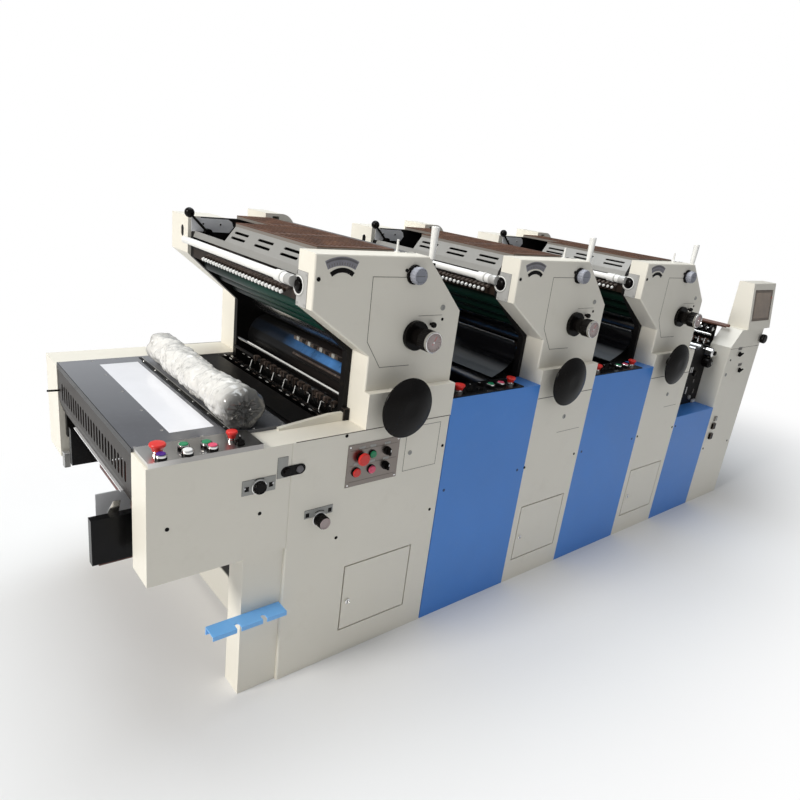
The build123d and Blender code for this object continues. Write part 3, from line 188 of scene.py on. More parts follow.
# Dark brown metal; its pale specks are painted glints
surface("brown_with_glints", (0.070, 0.050, 0.040), 0.4, spread=0.4, patch=40, grain=160, bump=0.25,
        specks=((0.4, 0.36, 0.32), 0.6, 70))
CAPS = (("red_cap", (0.66, 0.028, 0.022), 0.32, 0.08), ("green_cap", (0.012, 0.22, 0.09), 0.28, 0.1),
        ("white_cap", (0.75, 0.75, 0.74), 0.28, 0.04), ("pink_cap", (0.72, 0.08, 0.16), 0.28, 0.08),
        ("purple_cap", (0.06, 0.02, 0.22), 0.28, 0.1))
for cap, colour, rough, spread in CAPS:
    surface(cap, colour, rough, spread=spread, patch=30, grain=400, bump=0.04)
surface("gauge_face", (0.42, 0.34, 0.33), 0.35, spread=0.14, patch=60, specks=((0.2, 0.13, 0.13), 0.5, 150))
surface("blue_dark", (0.02, 0.06, 0.17), 0.4, spread=0.1, patch=30)
# Pale grey; its near-white tone is partly painted light that lifts the shaded inner sheets of the gear side
# boxes
surface("panel_grey", (0.79, 0.795, 0.81), 0.34, spread=0.07, patch=9, bump=0.08,
        specks=((0.55, 0.55, 0.55), 0.3, 25))
surface("sleeve_grey", (0.42, 0.415, 0.40), 0.24, spread=0.12, patch=25, grain=120, bump=0.25, coat=0.4)
surface("brown_bar", (0.16, 0.07, 0.045), 0.4, spread=0.25, patch=30, grain=200, bump=0.15)
surface("label_grey", (0.33, 0.33, 0.31), 0.36, spread=0.08, patch=25)
surface("scale_grey", (0.23, 0.225, 0.25), 0.36, spread=0.12, patch=40)
surface("scale_dark", (0.11, 0.105, 0.11), 0.36, spread=0.15, patch=40)
surface("seam_dark", (0.10, 0.085, 0.065), 0.7, spread=0.25, patch=30, bump=0.1)
surface("screen_glass", (0.26, 0.19, 0.13), 0.2, spread=0.2, patch=9, bump=0.02, coat=0.6)
surface("bezel_grey", (0.155, 0.118, 0.088), 0.34, spread=0.1, patch=20, bump=0.06)
surface("block_grey", (0.28, 0.28, 0.27), 0.34, spread=0.12, patch=20, grain=200, bump=0.1)


def graded(name, second, axis, stops):
    """Blends a material's colour towards a second one by stops (place in metres, share) along one axis."""
    tree = MATERIALS[name].node_tree
    where = node(tree, "TexCoord", {})
    parts = node(tree, "SeparateXYZ", {0: where.outputs["Object"]})
    first, last = stops[0][0], stops[-1][0]
    reach = node(tree, "MapRange", {"From Min": first, "From Max": last, "Value": parts.outputs[axis]})
    ramp = node(tree, "ValToRGB", {"Fac": reach.outputs["Result"]})
    points = ramp.color_ramp.elements
    while len(points) < len(stops):
        points.new(0.5)
    for point, (place, amount) in zip(points, stops):
        point.position = (place - first) / (last - first)
        point.color = (amount, amount, amount, 1)
    colour = tree.nodes["Principled BSDF"].inputs["Base Color"]
    mix = node(tree, "Mix", {"A": colour.links[0].from_socket, "B": (*second, 1),
                             "Factor": ramp.outputs["Color"]}, data_type="RGBA")
    tree.links.new(mix.outputs["Result"], colour)


# Blanket cylinders: a band of blue rubber, dark metal round it that is partly painted shade; painted shade
# also darkens them towards the gear side
graded("blanket_blue", (0.016, 0.013, 0.012), Z,
       ((0.90, 1), (0.920, 1), (0.924, 0), (0.952, 0), (0.956, 1), (0.99, 1)))
graded("blanket_blue", (0.004, 0.004, 0.004), Y, ((-0.28, 0), (-0.05, 0.25), (0.12, 0.96), (0.4, 1)))
# Ink rollers: painted shade darkens them towards the gear side and on the second and third towers
graded("ink_green", (0.002, 0.004, 0.004), Y, ((-0.34, 0), (0.02, 0.2), (0.28, 0.95), (0.4, 1)))
graded("ink_green", (0.004, 0.008, 0.005), X, ((-1.6, 0), (-0.75, 0), (-0.45, 0.7), (1.0, 0.8)))
# Transfer guards: pale at the foot, a painted reflection. Grilles: a paler rim under brown bars
graded("guard_black", (0.29, 0.315, 0.335), Z, ((0.80, 1), (0.862, 0.9), (0.893, 0.3), (0.905, 0), (1.4, 0)))
graded("grille_brown", (0.20, 0.18, 0.16), Z, ((1.31, 1), (1.3265, 1), (1.3285, 0), (1.35, 0)))
# Control plates: the upright one is darker than the lying one, painted shade; the lying one shines at its
# left end, a painted highlight
graded("plate_steel", (0.24, 0.21, 0.19), Z, ((0.60, 1), (0.78, 1), (0.80, 0), (0.85, 0)))
graded("plate_steel", (0.92, 0.90, 0.86), X, ((-1.74, 1), (-1.66, 0.85), (-1.56, 0), (0, 0)))
# Feed table: black below its top. Base frame: pale feet. Delivery cover: paler towards the gear side, a
# painted reflection
graded("table_steel", (0.006, 0.005, 0.005), Z, ((0.1, 1), (0.868, 1), (0.872, 0), (0.9, 0)))
graded("base_black", (0.62, 0.60, 0.54), Z, ((0, 1), (0.16, 1), (0.17, 0), (0.8, 0)))
graded("table_grey", (0.22, 0.225, 0.24), Y, ((-0.36, 0), (-0.2, 0.08), (0.36, 1)))
# Wrapped roller: dark inside its ends, painted shade
graded("film_wrap", (0.035, 0.034, 0.032), Y,
       ((-0.37, 0.97), (-0.345, 0.8), (-0.31, 0.25), (-0.27, 0), (0.26, 0), (0.315, 0.45)))

# CAD nodes take the look of their slot in the record, and some a closer one
CLOSER = {"sheet_guards": "guard_black", "step_bracket": "sky_paint", "control_plates": "plate_steel",
          "base_frame": "base_black"}
slot_of = {piece["node"]: piece["material_slot"] for piece in frame["record"]["subparts"]}
for name, thing in frame["nodes"].items():
    look = CLOSER.get(name, slot_of[name])
    for slot in thing.material_slots:
        slot.material = MATERIALS[look]


# Geometry helpers


class Piece:
    """Collects turned, extruded and bevelled shapes in one mesh.

    A shape's look is one of the piece's materials, or else the first of them.
    """

    def __init__(self, name, *materials):
        self.name = name
        self.materials = materials
        self.bm = bmesh.new()

    def face(self, corners, look=None):
        made = self.bm.faces.new(corners)
        made.material_index = self.materials.index(look) if look else 0
        return made

    def prism(self, outline, push, look=None, bevel=0.0):
        """Extruded polygon: outline in metres, pushed along a vector, edges bevelled in millimetres."""
        lower = [self.bm.verts.new(p) for p in outline]
        upper = [self.bm.verts.new(p + push) for p in outline]
        made = [self.face(lower[::-1], look), self.face(upper, look)]
        for i in range(len(outline)):
            j = (i + 1) % len(outline)
            made.append(self.face([lower[i], lower[j], upper[j], upper[i]], look))
        bmesh.ops.recalc_face_normals(self.bm, faces=made)
        if bevel > 0:
            edges = list({edge for item in made for edge in item.edges})
            bmesh.ops.bevel(self.bm, geom=edges, offset=bevel / 1000, segments=2, affect="EDGES",
                            clamp_overlap=True)

    def block(self, x0, x1, y0, y1, z0, z1, look=None, bevel=1.0):
        outline = [at(x0, y0, z0), at(x1, y0, z0), at(x1, y1, z0), at(x0, y1, z0)]
        self.prism(outline, Vector((0, 0, (z1 - z0) / 1000)), look, bevel)

    def turn(self, origin, axis, profile, look=None, segments=32, lobes=0, lobe_depth=0.0):
        """Turned shape: profile of (radius, height) in millimetres along an axis from origin."""
        axis = Vector(axis).normalized()
        side = axis.orthogonal().normalized()
        other = axis.cross(side)
        rings = []
        for radius, height in profile:
            middle = origin + axis * height / 1000
            if radius <= 0:
                rings.append([self.bm.verts.new(middle)])
                continue
            ring = []
            for step in range(segments):
                angle = 2 * pi * step / segments
                reach = radius * (1 - lobe_depth * (0.5 + 0.5 * cos(lobes * angle)))
                spoke = side * cos(angle) + other * sin(angle)
                ring.append(self.bm.verts.new(middle + spoke * reach / 1000))
            rings.append(ring)
        made = []
        for first, second in zip(rings, rings[1:]):
            for step in range(segments):
                after = (step + 1) % segments
                if len(first) == 1:
                    made.append(self.face([first[0], second[step], second[after]], look))
                elif len(second) == 1:
                    made.append(self.face([first[step], second[0], first[after]], look))
                else:
                    made.append(self.face([first[step], second[step], second[after], first[after]], look))
        bmesh.ops.recalc_face_normals(self.bm, faces=made)

    def bar(self, first, second, radius, look=None, segments=16):
        """Round bar with rounded ends between two points in metres."""
        length = (second - first).length * 1000
        profile = [(0, 0), (radius * 0.7, 0), (radius, radius * 0.3), (radius, length - radius * 0.3),
                   (radius * 0.7, length), (0, length)]
        self.turn(first, second - first, profile, look, segments)

    def ribbon(self, points, width, normal, look=None):
        """Thin line lying on a face, along points in metres."""
        normal = Vector(normal)
        for first, second in zip(points, points[1:]):
            along = (second - first).normalized()
            across = along.cross(normal) * width / 2000
            lap = along * width / 2000
            start = [first - across - lap, first + across - lap]
            end = [second + across + lap, second - across + lap]
            self.prism(start + end, normal * 0.0004, look)

    def arc_band(self, x, y, z, inner, outer, half_angle, push, look=None):
        """Band between two arcs on a face that looks at the operator."""
        steps = 14
        angles = [radians(half_angle) * (2 * step / steps - 1) for step in range(steps + 1)]
        rim = [at(x + outer * sin(a), y, z + outer * cos(a)) for a in angles]
        rim += [at(x + inner * sin(a), y, z + inner * cos(a)) for a in reversed(angles)]
        self.prism(rim, Vector((0, -push / 1000, 0)), look)

    def finish(self, body="root", angle=35):
        """Makes the object, sharp where faces meet at more than the angle, and hangs it on its body."""
        data = bpy.data.meshes.new(self.name)
        self.bm.to_mesh(data)
        self.bm.free()
        for name in self.materials:
            data.materials.append(MATERIALS[name])
        data.shade_smooth()
        data.set_sharp_from_angle(angle=radians(angle))
        made = bpy.data.objects.new(self.name, data)
        bpy.context.scene.collection.objects.link(made)
        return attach(made, body)


# Push buttons, emergency stops and selectors
buttons = Piece("press_buttons", BLACK, "chrome", "red_cap", "green_cap", "pink_cap", "white_cap",
                "purple_cap")


def push_button(place, cap):
    """Upright button: a threaded collar, a chrome ring and a coloured cap."""
    ring = [(14.4, 7.5), (14.8, 9), (14.8, 12.5), (13.6, 14), (12.0, 14), (11.7, 12.5)]
    buttons.turn(place, UP, [(0, 0), (14.8, 0), (14.8, 7), (14.0, 8)], BLACK)
    buttons.turn(place, UP, ring, "chrome")
    buttons.turn(place, UP, [(11.7, 12), (11.5, 15), (10.4, 16), (0, 16.2)], cap)


def mushroom(place, radius):
    """Upright emergency stop with a wide domed head."""
    stem = [(0, 0), (radius * 0.74, 0), (radius * 0.74, 5), (radius * 0.6, 6), (radius * 0.6, 10)]
    head = [(radius * 0.5, 9), (radius * 0.66, 9.5), (radius * 0.72, 15), (radius * 0.95, 21),
            (radius * 1.02, 23), (radius * 1.02, 26), (radius * 0.93, 28.6), (radius * 0.6, 29.6), (0, 30)]
    buttons.turn(place, UP, stem, "chrome")
    buttons.turn(place, UP, head, "red_cap", 40)


def selector(place, axis, turned):
    """Black selector knob with a finger bar and a white mark, turned by some degrees."""
    base = [(0, 0), (13.5, 0), (13.5, 4), (12.5, 5), (12.5, 9), (11.5, 10), (0, 10)]
    buttons.turn(place, axis, base, BLACK)
    axis = Vector(axis)
    side = Matrix.Rotation(radians(turned), 3, axis) @ Vector((1, 0, 0))
    other = axis.cross(side)
    middle = place + axis * 0.009

    def strip(base, near, far, half, rise, look, bevel):
        """Raised strip along the knob's diameter."""
        lap = other * half
        corners = [side * far + lap, side * near + lap, side * near - lap, side * far - lap]
        buttons.prism([base + corner for corner in corners], axis * rise, look, bevel)

    strip(middle, -0.011, 0.011, 0.0035, 0.012, BLACK, 1.2)
    strip(middle + axis * 0.012, 0.002, 0.010, 0.0008, 0.0006, "white_cap", 0)


def low_button(place, radius, cap):
    """Flush button on the upright panel: black ring and a wide cap."""
    buttons.turn(place, OUT, [(0, 0), (radius, 0), (radius, 4), (radius - 1.5, 5)], BLACK)
    buttons.turn(place, OUT, [(radius - 1.5, 4), (radius - 2, 8), (radius - 3.5, 9.5), (0, 10)], cap)


# On the delivery's lying control plate
PLATE_Z = 826.0
mushroom(at(-351, 46, PLATE_Z), 20)
push_button(at(-354, 14, PLATE_Z), "purple_cap")
push_button(at(-285, 49, PLATE_Z), "green_cap")
push_button(at(-289, 12, PLATE_Z), "white_cap")
push_button(at(-229, 40, PLATE_Z), "green_cap")
push_button(at(-223, 16, PLATE_Z), "pink_cap")
mushroom(at(-156, 50, PLATE_Z), 15)
selector(at(-146, 22, PLATE_Z), UP, 70)
# On the first cabinet's upright control plate
PANEL_Y = -2.0  # its front
stop = at(241, PANEL_Y, 724)
buttons.turn(stop, OUT, [(0, 0), (15, 0), (15, 6), (13, 8)], BLACK)
buttons.turn(stop, OUT, [(12, 7), (18, 10), (20.5, 13), (20.5, 17), (18, 20), (0, 21)], "red_cap", 48)
low_button(at(282, PANEL_Y, 730), 13, "green_cap")
selector(at(338, PANEL_Y, 731), OUT, 90)
low_button(at(226, PANEL_Y, 679), 15.5, "red_cap")
low_button(at(283, PANEL_Y, 679), 14.5, "pink_cap")
selector(at(337, PANEL_Y, 682), OUT, 90)
# On the black trays that start at the first two cabinets' right edges
TRAY_Y = 36.0
TRAY_Z = 873.0
for _, start in CABINETS[:2]:
    mushroom(at(start + 60, TRAY_Y, TRAY_Z), 19)
    selector(at(start + 112, TRAY_Y, TRAY_Z), UP, 60)
    selector(at(start + 164, TRAY_Y, TRAY_Z), UP, 110)
    push_button(at(start + 216, TRAY_Y, TRAY_Z), "green_cap")
    push_button(at(start + 268, TRAY_Y, TRAY_Z), "pink_cap")
    mushroom(at(start + 320, TRAY_Y, TRAY_Z), 17)
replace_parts(buttons.finish(), "push_buttons")

# Pressure knobs: knurled ring, bright bezel and a gauge face with ticks and a needle
KNOB_Y = 13.7
BEZEL = [(31.5, 67), (32.4, 70), (32, 76.5), (30.4, 78), (28.6, 77.6), (28, 75)]
for number, front in enumerate(TOWERS, 1):
    knob = Piece(f"pressure_gauge_{number}", BLACK, "chrome", "gauge_face", "seam_dark", "red_cap")
    middle = at(front + 168, KNOB_Y, 1087)
    knob.turn(middle, OUT, [(0, 0), (25, 0), (25, 8), (28, 11), (28.5, 30), (30, 34)], BLACK, 48)
    knob.turn(middle, OUT, [(30, 34), (33, 37), (33, 64), (31.5, 68)], BLACK, 120, lobes=30, lobe_depth=0.06)
    knob.turn(middle, OUT, BEZEL, "chrome", 64)
    knob.turn(middle, OUT, [(28.4, 75.2), (0, 75.2)], "gauge_face", 48)
    face = middle + Vector(OUT) * 0.0753
    for tick in range(20):
        angle = radians(tick * 18)
        side = Vector((cos(angle), 0, sin(angle)))
        reach = 0.019 if tick % 5 == 0 else 0.0225
        knob.ribbon([face + side * reach, face + side * 0.0262], 1.0, OUT, "seam_dark")
    knob.ribbon([face + Vector((-0.004, 0, -0.007)), face + Vector((0.010, 0, 0.017))], 1.4, OUT, "red_cap")
    knob.turn(face, OUT, [(0, 0), (4, 0), (3.6, 1.4), (0, 1.6)], "chrome", 24)
    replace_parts(knob.finish(f"pressure_knob_{number}"), f"pressure_knob_{number}")

# Register knobs: black base disc, fluted grey grip with a dished and marked front
register = Piece("register_grips", BLACK, "grey_plastic", "scale_dark")
for front in TOWERS:
    middle = at(front + 137, HEAD_Y, 1270)
    register.turn(middle, OUT, [(0, 0), (29, 0), (29, 4), (27.6, 6), (0, 6)], BLACK, 48)
    register.turn(middle, OUT, [(21, 5.5), (21.5, 9), (25.4, 12), (26, 27), (24.6, 31)], "grey_plastic", 96,
                  lobes=16, lobe_depth=0.05)
    dish = [(24.6, 31), (22.5, 33.4), (18.5, 33.6), (16.5, 31.6), (0, 31)]
    register.turn(middle, OUT, dish, "grey_plastic", 48)
    register.ribbon([middle + Vector((-0.015, -0.0313, 0)), middle + Vector((0.015, -0.0313, 0))], 1.6, OUT,
                    "scale_dark")
    for angle in range(0, 360, 30):
        side = Vector((cos(radians(angle)), 0, sin(radians(angle))))
        register.ribbon([middle + side * 0.0186 + Vector((0, -0.0336, 0)),
                         middle + side * 0.0222 + Vector((0, -0.0334, 0))], 0.9, OUT, "scale_dark")
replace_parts(register.finish(), "register_knobs")

# Ink keys: coiled springs on inclined screws with bright heads, painted pale as a glint
keys = Piece("key_rows", "fountain_dark", "chrome", "block_grey", "polished", "brown_with_glints")
KEYS = 26
KEY_FIRST_Y = 150.0
KEY_SPAN = 545.0
KEY_PITCH = KEY_SPAN / KEYS
COILS = 4
COIL_PITCH = 4.6
for front in TOWERS:
    for key in range(KEYS):
        y = KEY_FIRST_Y + KEY_PITCH * (key + 0.5)
        top = at(front - 191, y, 1211)
        slope = at(front - 226, y, 1196) - top
        keys.turn(top, slope, [(0, 0), (4.6, 0), (4.6, 20)], "fountain_dark", 12)
        spring = []
        for coil in range(COILS):
            low = coil * COIL_PITCH
            spring += [(5.0, 1 + low), (7.0, 2.6 + low), (7.0, 3.4 + low), (5.0, 5 + low)]
        # The springs' pale specks are painted glints
        keys.turn(top, slope, spring, "brown_with_glints", 12)
        keys.turn(top, slope, [(5.5, 20), (6.4, 21), (6.4, 27), (4.2, 28), (4.2, 30)], "fountain_dark", 12)
        keys.turn(top, slope, [(4.2, 29), (5.6, 30), (5.6, 35.5), (4.6, 38), (0, 38.5)], "polished", 12)
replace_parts(keys.finish(), "ink_keys")

# Spare roller in crumpled film, lying across the delivery's cover
ROLL_NEAR = at(-90, 114, 877)
ROLL_FAR = at(-80, 785, 877)
ROLL_RADIUS = 55.0
LENGTH_STEPS = 190
ROUND_STEPS = 84
FILM_FOOT = (COVER_TOP + 0.5) / 1000  # the film lies flat here
film = Piece("film_wrapped_roller", "film_wrap")
roll = ROLL_FAR - ROLL_NEAR
roll_length = roll.length
roll_axis = roll.normalized()
roll_side = roll_axis.cross(Vector(UP)).normalized()


def film_place(t, angle):
    """Point of the film: t runs from 0 to 1 along the roller, the angle goes round it."""
    outward = roll_side * cos(angle) + Vector(UP) * sin(angle)
    smooth = ROLL_NEAR + roll_axis * roll_length * t + outward * ROLL_RADIUS / 1000
    folds = noise.ridged_multi_fractal(smooth * 17.0, 0.9, 2.1, 5, 1.0, 2.0, noise_basis="PERLIN_ORIGINAL")
    sag = noise.noise(smooth * 7.0)
    nearest = noise.voronoi(smooth * 21.0)[0]
    crease = nearest[1] - nearest[0]
    # The film closes round both ends, is ragged there and bulges out near the first
    end = min(t, 1 - t)
    close = 1.0 if end > 0.03 else 0.8 + 0.2 * (end / 0.03) ** 0.5
    ragged = max(0.0, 1 - end / 0.06)
    waist = 0.94 + ragged * (0.05 + 0.16 * noise.noise(smooth * 32.0))
    bulge = 9 * max(0.0, cos(angle)) * max(0.0, 1 - abs(t - 0.08) / 0.16)
    radius = ROLL_RADIUS * close * waist - 6.5 + bulge + folds * 5.5 + sag * 11.0 + crease * 9.0
    place = ROLL_NEAR + roll_axis * roll_length * t + outward * radius / 1000
    place.z = max(place.z, FILM_FOOT)
    return place


def film_band(first, second):
    """Faces between two rings of the film."""
    for j in range(ROUND_STEPS):
        k = (j + 1) % ROUND_STEPS
        film.face([first[j], first[k], second[k], second[j]])


rings = []
for i in range(LENGTH_STEPS + 1):
    places = [film_place(i / LENGTH_STEPS, 2 * pi * j / ROUND_STEPS) for j in range(ROUND_STEPS)]
    rings.append([film.bm.verts.new(place) for place in places])
for first, second in zip(rings, rings[1:]):
    film_band(first, second)
# Each end is tucked in by rings that shrink towards its middle
for ring, push in ((rings[0], -1), (rings[-1], 1)):
    centre = sum((v.co for v in ring), Vector()) / len(ring)
    last = ring
    for reach, depth in ((0.86, 0.004), (0.7, 0.006), (0.52, 0.0), (0.34, 0.003), (0.16, -0.005)):
        inner = []
        for v in ring:
            crease = 1 + 0.3 * noise.noise(v.co * 70)
            fold = depth + 0.007 * noise.noise(v.co * 85)
            tucked = centre + (v.co - centre) * reach * crease + roll_axis * push * fold
            inner.append(film.bm.verts.new(tucked))
        film_band(last, inner)
        last = inner
    film.face(last)
bmesh.ops.recalc_face_normals(film.bm, faces=film.bm.faces[:])
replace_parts(film.finish(angle=28), "wrapped_roller")

# Seams of hidden doors and covers
seams = Piece("panel_seams", "seam_dark")


def face_line(points, y, width=1.6):
    """Seam that looks at the operator, along places (x, z)."""
    seams.ribbon([at(x, y, z) for x, z in points], width, OUT)


def back_line(points, width=1.6):
    """Seam on the gear side's outer face, along places (x, z)."""
    seams.ribbon([at(x, GEAR_FACE, z) for x, z in points], width, BACK)


def back_frame(middle, half, low, high):
    """Seam round a door or a cover on the gear side."""
    corners = [(middle - half, low), (middle - half, high), (middle + half, high), (middle + half, low)]
    back_line(corners + corners[:1])


for front in TOWERS:
    # Panel of the leaning head, then the seam over the cabinet, which starts at the cabinet's own edge
    panel = [(115, 1262), (-12, 1263), (-9, 1076), (46, 995), (159, 993)]
    face_line([(front + x, z) for x, z in panel], HEAD_Y)
    left = 13 if front == TOWERS[0] else front + 3
    face_line([(left, PLINTH_SEAM), (front + 345, PLINTH_SEAM)], 0, 2.6)
    face_line([(front + 174, 1146), (front + 270, 1146)], HEAD_Y, 1.2)
for left, right in ((1214, 1360), (2039, 2153)):
    face_line([(left, 650), (right, 650)], 0, 1.3)
# Small upper door of the first cabinet, top seam of the feeder's side
face_line([(415, 794), (415, 642), (556, 642), (556, 794), (415, 794)], 0, 1.3)
FEEDER_SEAM = [(2594, 897), (2936, 899)]
face_line(FEEDER_SEAM, 0)
for (left, right), middle in zip(CABINETS, GEAR_DOORS):
    back_line([(left + 3, PLINTH_SEAM), (right - 3, PLINTH_SEAM)], 2.2)
    back_frame(middle, 135, 96, 346)
    back_frame(middle, 110, 420, 760)
back_line(FEEDER_SEAM)
seams.finish()

# Scale and slot on each head, plugs, locks and latches
trim = Piece("face_trim", "scale_dark", "label_grey", "seam_dark", BLACK, "chrome", "cream_paint",
             "white_plastic", "blue_paint", "blue_dark", "scale_grey")
SCALE_Z = 1196.0
SCALE_Y = HEAD_Y - 0.8
HOLE_Y = 914.5  # middle of the oval hole in the gear side's front boxes
HOLE_Z = 1262.0
HOLE_RADIUS = 12.2
HOLE_REACH = 8.0  # its round ends lie this far above and below
RIM_PLUG = [(0, 0), (6, 0), (6, 1), (4, 1.4), (3.4, 0.4), (0, 0.3)]
WIDE_PLUG = [(0, 0), (9, 0), (9, 2), (7.5, 3.5), (3, 3.5), (2.6, 1.5), (0, 1.5)]
FLAT_PLUG = [(0, 0), (5, 0), (5, 1), (0, 1.4)]
PULL_KNOB = [(0, 0), (4.5, 0), (4.5, 8), (8.5, 9), (9, 16), (7.5, 20), (0, 21)]
ROUND_PLUG = [(0, 0), (5, 0), (5, 2), (3.5, 3), (0, 3)]
WHITE_POST = [(0, 0), (8, 0), (8, 2), (4, 3), (3.4, 32), (4, 36), (0, 37)]
SUNK_SCREW = [(5.6, 0), (5.6, 0.5), (4.8, 1.3), (2.2, 1.5), (1.9, 0.6), (0, 0.6)]
ROUND_LOCK = [(0, 0), (9.5, 0), (9.5, 1.6), (8, 2.6), (3, 2.6), (2.6, 1.2), (0, 1.2)]
SMALL_LOCK = [(0, 0), (8, 0), (8, 1.6), (6.8, 2.4), (2.8, 2.4), (2.4, 1), (0, 1)]
LATCH_RING = [(9.6, 0), (9.6, 1.4), (8.2, 2.2), (6.6, 2.2), (6.2, 1.2), (0, 1.2)]
for front in TOWERS:
    scale_x = front - 119
    trim.arc_band(scale_x, HEAD_Y, SCALE_Z, 96, 120, 27, 0.8, "scale_grey")
    trim.arc_band(scale_x, SCALE_Y, SCALE_Z, 112, 117, 26, 0.4, "scale_dark")
    for tick in range(11):
        angle = radians(-23 + tick * 4.6)
        first = at(scale_x + 99 * sin(angle), SCALE_Y, SCALE_Z + 99 * cos(angle))
        second = at(scale_x + 105 * sin(angle), SCALE_Y, SCALE_Z + 105 * cos(angle))
        trim.ribbon([first, second], 1.2, OUT, "seam_dark")
    trim.arc_band(front - 116, HEAD_Y, 1222, 52, 65, 38, 0.5, BLACK)
    trim.turn(at(front - 189, HEAD_Y, 1256), OUT, RIM_PLUG, BLACK, 24)
    trim.turn(at(front + 269, HEAD_Y, 1169), OUT, WIDE_PLUG, "label_grey")
    trim.turn(at(front + 274, HEAD_Y, 1132), OUT, FLAT_PLUG, BLACK, 24)
    trim.turn(at(front + 228, HEAD_Y, 1119), OUT, PULL_KNOB, BLACK)
    trim.turn(at(front + 106, HEAD_Y, 1282), OUT, ROUND_PLUG, BLACK, 24)
    # Post and slots on the head's top
    trim.turn(at(front + 122, 100, HEAD_TOP), UP, WHITE_POST, "white_plastic", 24)
    for x, y in ((front + 134, 97), (front + 167, 89)):
        trim.block(x - 16, x + 16, y - 3, y + 3, HEAD_TOP, HEAD_TOP + 0.6, BLACK, 0)
    # Black bottom of the oval hole, painted shade in its depth
    oval = []
    for step in range(24):
        angle = radians(15 * step)
        y = HOLE_Y + HOLE_RADIUS * cos(angle)
        z = HOLE_Z + HOLE_RADIUS * sin(angle) + (HOLE_REACH if step < 12 else -HOLE_REACH)
        oval.append(at(front - 202, y, z))
    trim.prism(oval, Vector((0.001, 0, 0)), BLACK)
# Screws sunk in cabinets and blue covers
BLUE = "blue_dark"
SCREWS = ((181, 804, BLACK), (178, 464, BLACK), (580, 704, BLACK), (565, 466, BLACK), (621, 527, BLUE),
          (1008, 526, BLUE), (1050, 528, BLACK), (1369, 528, BLACK), (1422, 528, BLUE), (1815, 522, BLUE),
          (1860, 526, BLACK), (2180, 524, BLACK), (2214, 524, BLUE), (-344, 637, BLACK), (-89, 617, BLACK),
          (2628, 836, BLACK), (2900, 330, BLACK), (2612, 330, BLACK))
for x, z, hole in SCREWS:
    trim.turn(at(x, 0, z), OUT, SUNK_SCREW, hole, 24)
for x, z in ((-360, 637), (-40, 637), (40, 780), (40, 440), (560, 780), (560, 440), (1066, 528),
             (1378, 528), (1866, 528), (2178, 528), (640, 527), (1008, 527), (1440, 527), (1808, 527),
             (2240, 527), (2550, 527), (2612, 330), (2912, 330)):
    trim.turn(at(x, GEAR_FACE, z), BACK, SUNK_SCREW, BLACK, 24)
# Round locks on the gear side's doors and on the cabinets
for middle in GEAR_DOORS:
    trim.turn(at(middle + 102, GEAR_FACE, 590), BACK, ROUND_LOCK, "label_grey")
for x, z in ((1240, 715), (2040, 715), (2622, 756)):
    trim.turn(at(x, 0, z), OUT, ROUND_LOCK, "label_grey")
    trim.block(x - 0.9, x + 0.9, -2.9, -2.4, z - 5.5, z + 5.5, BLACK, 0)
# Door latches: ring, barrel and key slot
for left, z in zip(DOORS, (206, 202, 202)):
    trim.turn(at(left + 20, -3, z), OUT, LATCH_RING, "chrome", 28)
    trim.block(left + 19, left + 21, -4.8, -4, z - 4.5, z + 4.5, BLACK, 0)
trim.turn(at(437, 0, 704), OUT, SMALL_LOCK, "label_grey", 28)
trim.finish()

# Door frames: a dark gap line round each lower door, at least 1 mm off it
gaps = Piece("door_gaps", "seam_dark")
GAP_LOW = 100
GAP_HIGH = 342
for left in DOORS:
    right = left + DOOR_WIDTH
    gaps.block(left - 5, right + 5, 8, 12, GAP_HIGH, GAP_HIGH + 4, bevel=0)
    gaps.block(left - 5, right + 5, 8, 12, GAP_LOW - 4, GAP_LOW, bevel=0)
    gaps.block(left - 5, left - 1, 8, 12, GAP_LOW, GAP_HIGH, bevel=0)
    gaps.block(right + 2.6, right + 5, 8, 12, GAP_LOW, GAP_HIGH, bevel=0)
gaps.finish()

# Fittings on the delivery box and the first cabinet
fittings = Piece("delivery_fittings", BLACK, "grey_plastic", "label_grey", "chrome", "seam_dark",
                 "steel", "scale_dark", "gauge_face", "panel_grey")
PLATE_FACE = -1.2  # front of the thin label plates


def plate_knob(x, z, reach, radius, face):
    """Fluted knob on a chrome washer, with a dished face."""
    washer = [(0, 0), (radius + 3, 0), (radius + 3, 3), (radius + 1, 4)]
    grip = [(radius - 3, 3), (radius, 6), (radius, reach - 3), (radius - 2, reach)]
    dish = [(radius - 2, reach), (radius - 4, reach + 0.5), (radius - 6, reach - 1.5), (0, reach - 1.5)]
    fittings.turn(at(x, 0, z), OUT, washer, "chrome", 48)
    fittings.turn(at(x, 0, z), OUT, grip, BLACK, 60, lobes=15, lobe_depth=0.05)
    fittings.turn(at(x, 0, z), OUT, dish, face, 40)


fittings.block(-146, -46, PLATE_FACE, 0, 682, 727, "label_grey", 0.4)
plate_knob(-96, 701, 14, 19, BLACK)
for x in (-138, -54):
    fittings.turn(at(x, PLATE_FACE, 704), OUT, [(0, 0), (3, 0), (2.6, 1.2), (0, 1.5)], "steel", 16)
fittings.block(56, 154, PLATE_FACE, 0, 560, 588, "label_grey", 0.4)
plate_knob(108, 550, 36, 20, "gauge_face")
# Dark squares and a curved line beside each knob
for x, z in ((-138, 694), (-66, 694), (60, 564), (138, 564)):
    fittings.block(x, x + 12, PLATE_FACE - 0.5, PLATE_FACE, z, z + 14, BLACK, 0)
fittings.arc_band(-96, PLATE_FACE, 701, 24.5, 26.5, 34, 0.4, BLACK)
fittings.arc_band(108, PLATE_FACE, 550, 26.5, 28.5, 34, 0.4, BLACK)
fittings.block(-43, -10, PLATE_FACE, 0, 712, 776, "label_grey", 0.4)
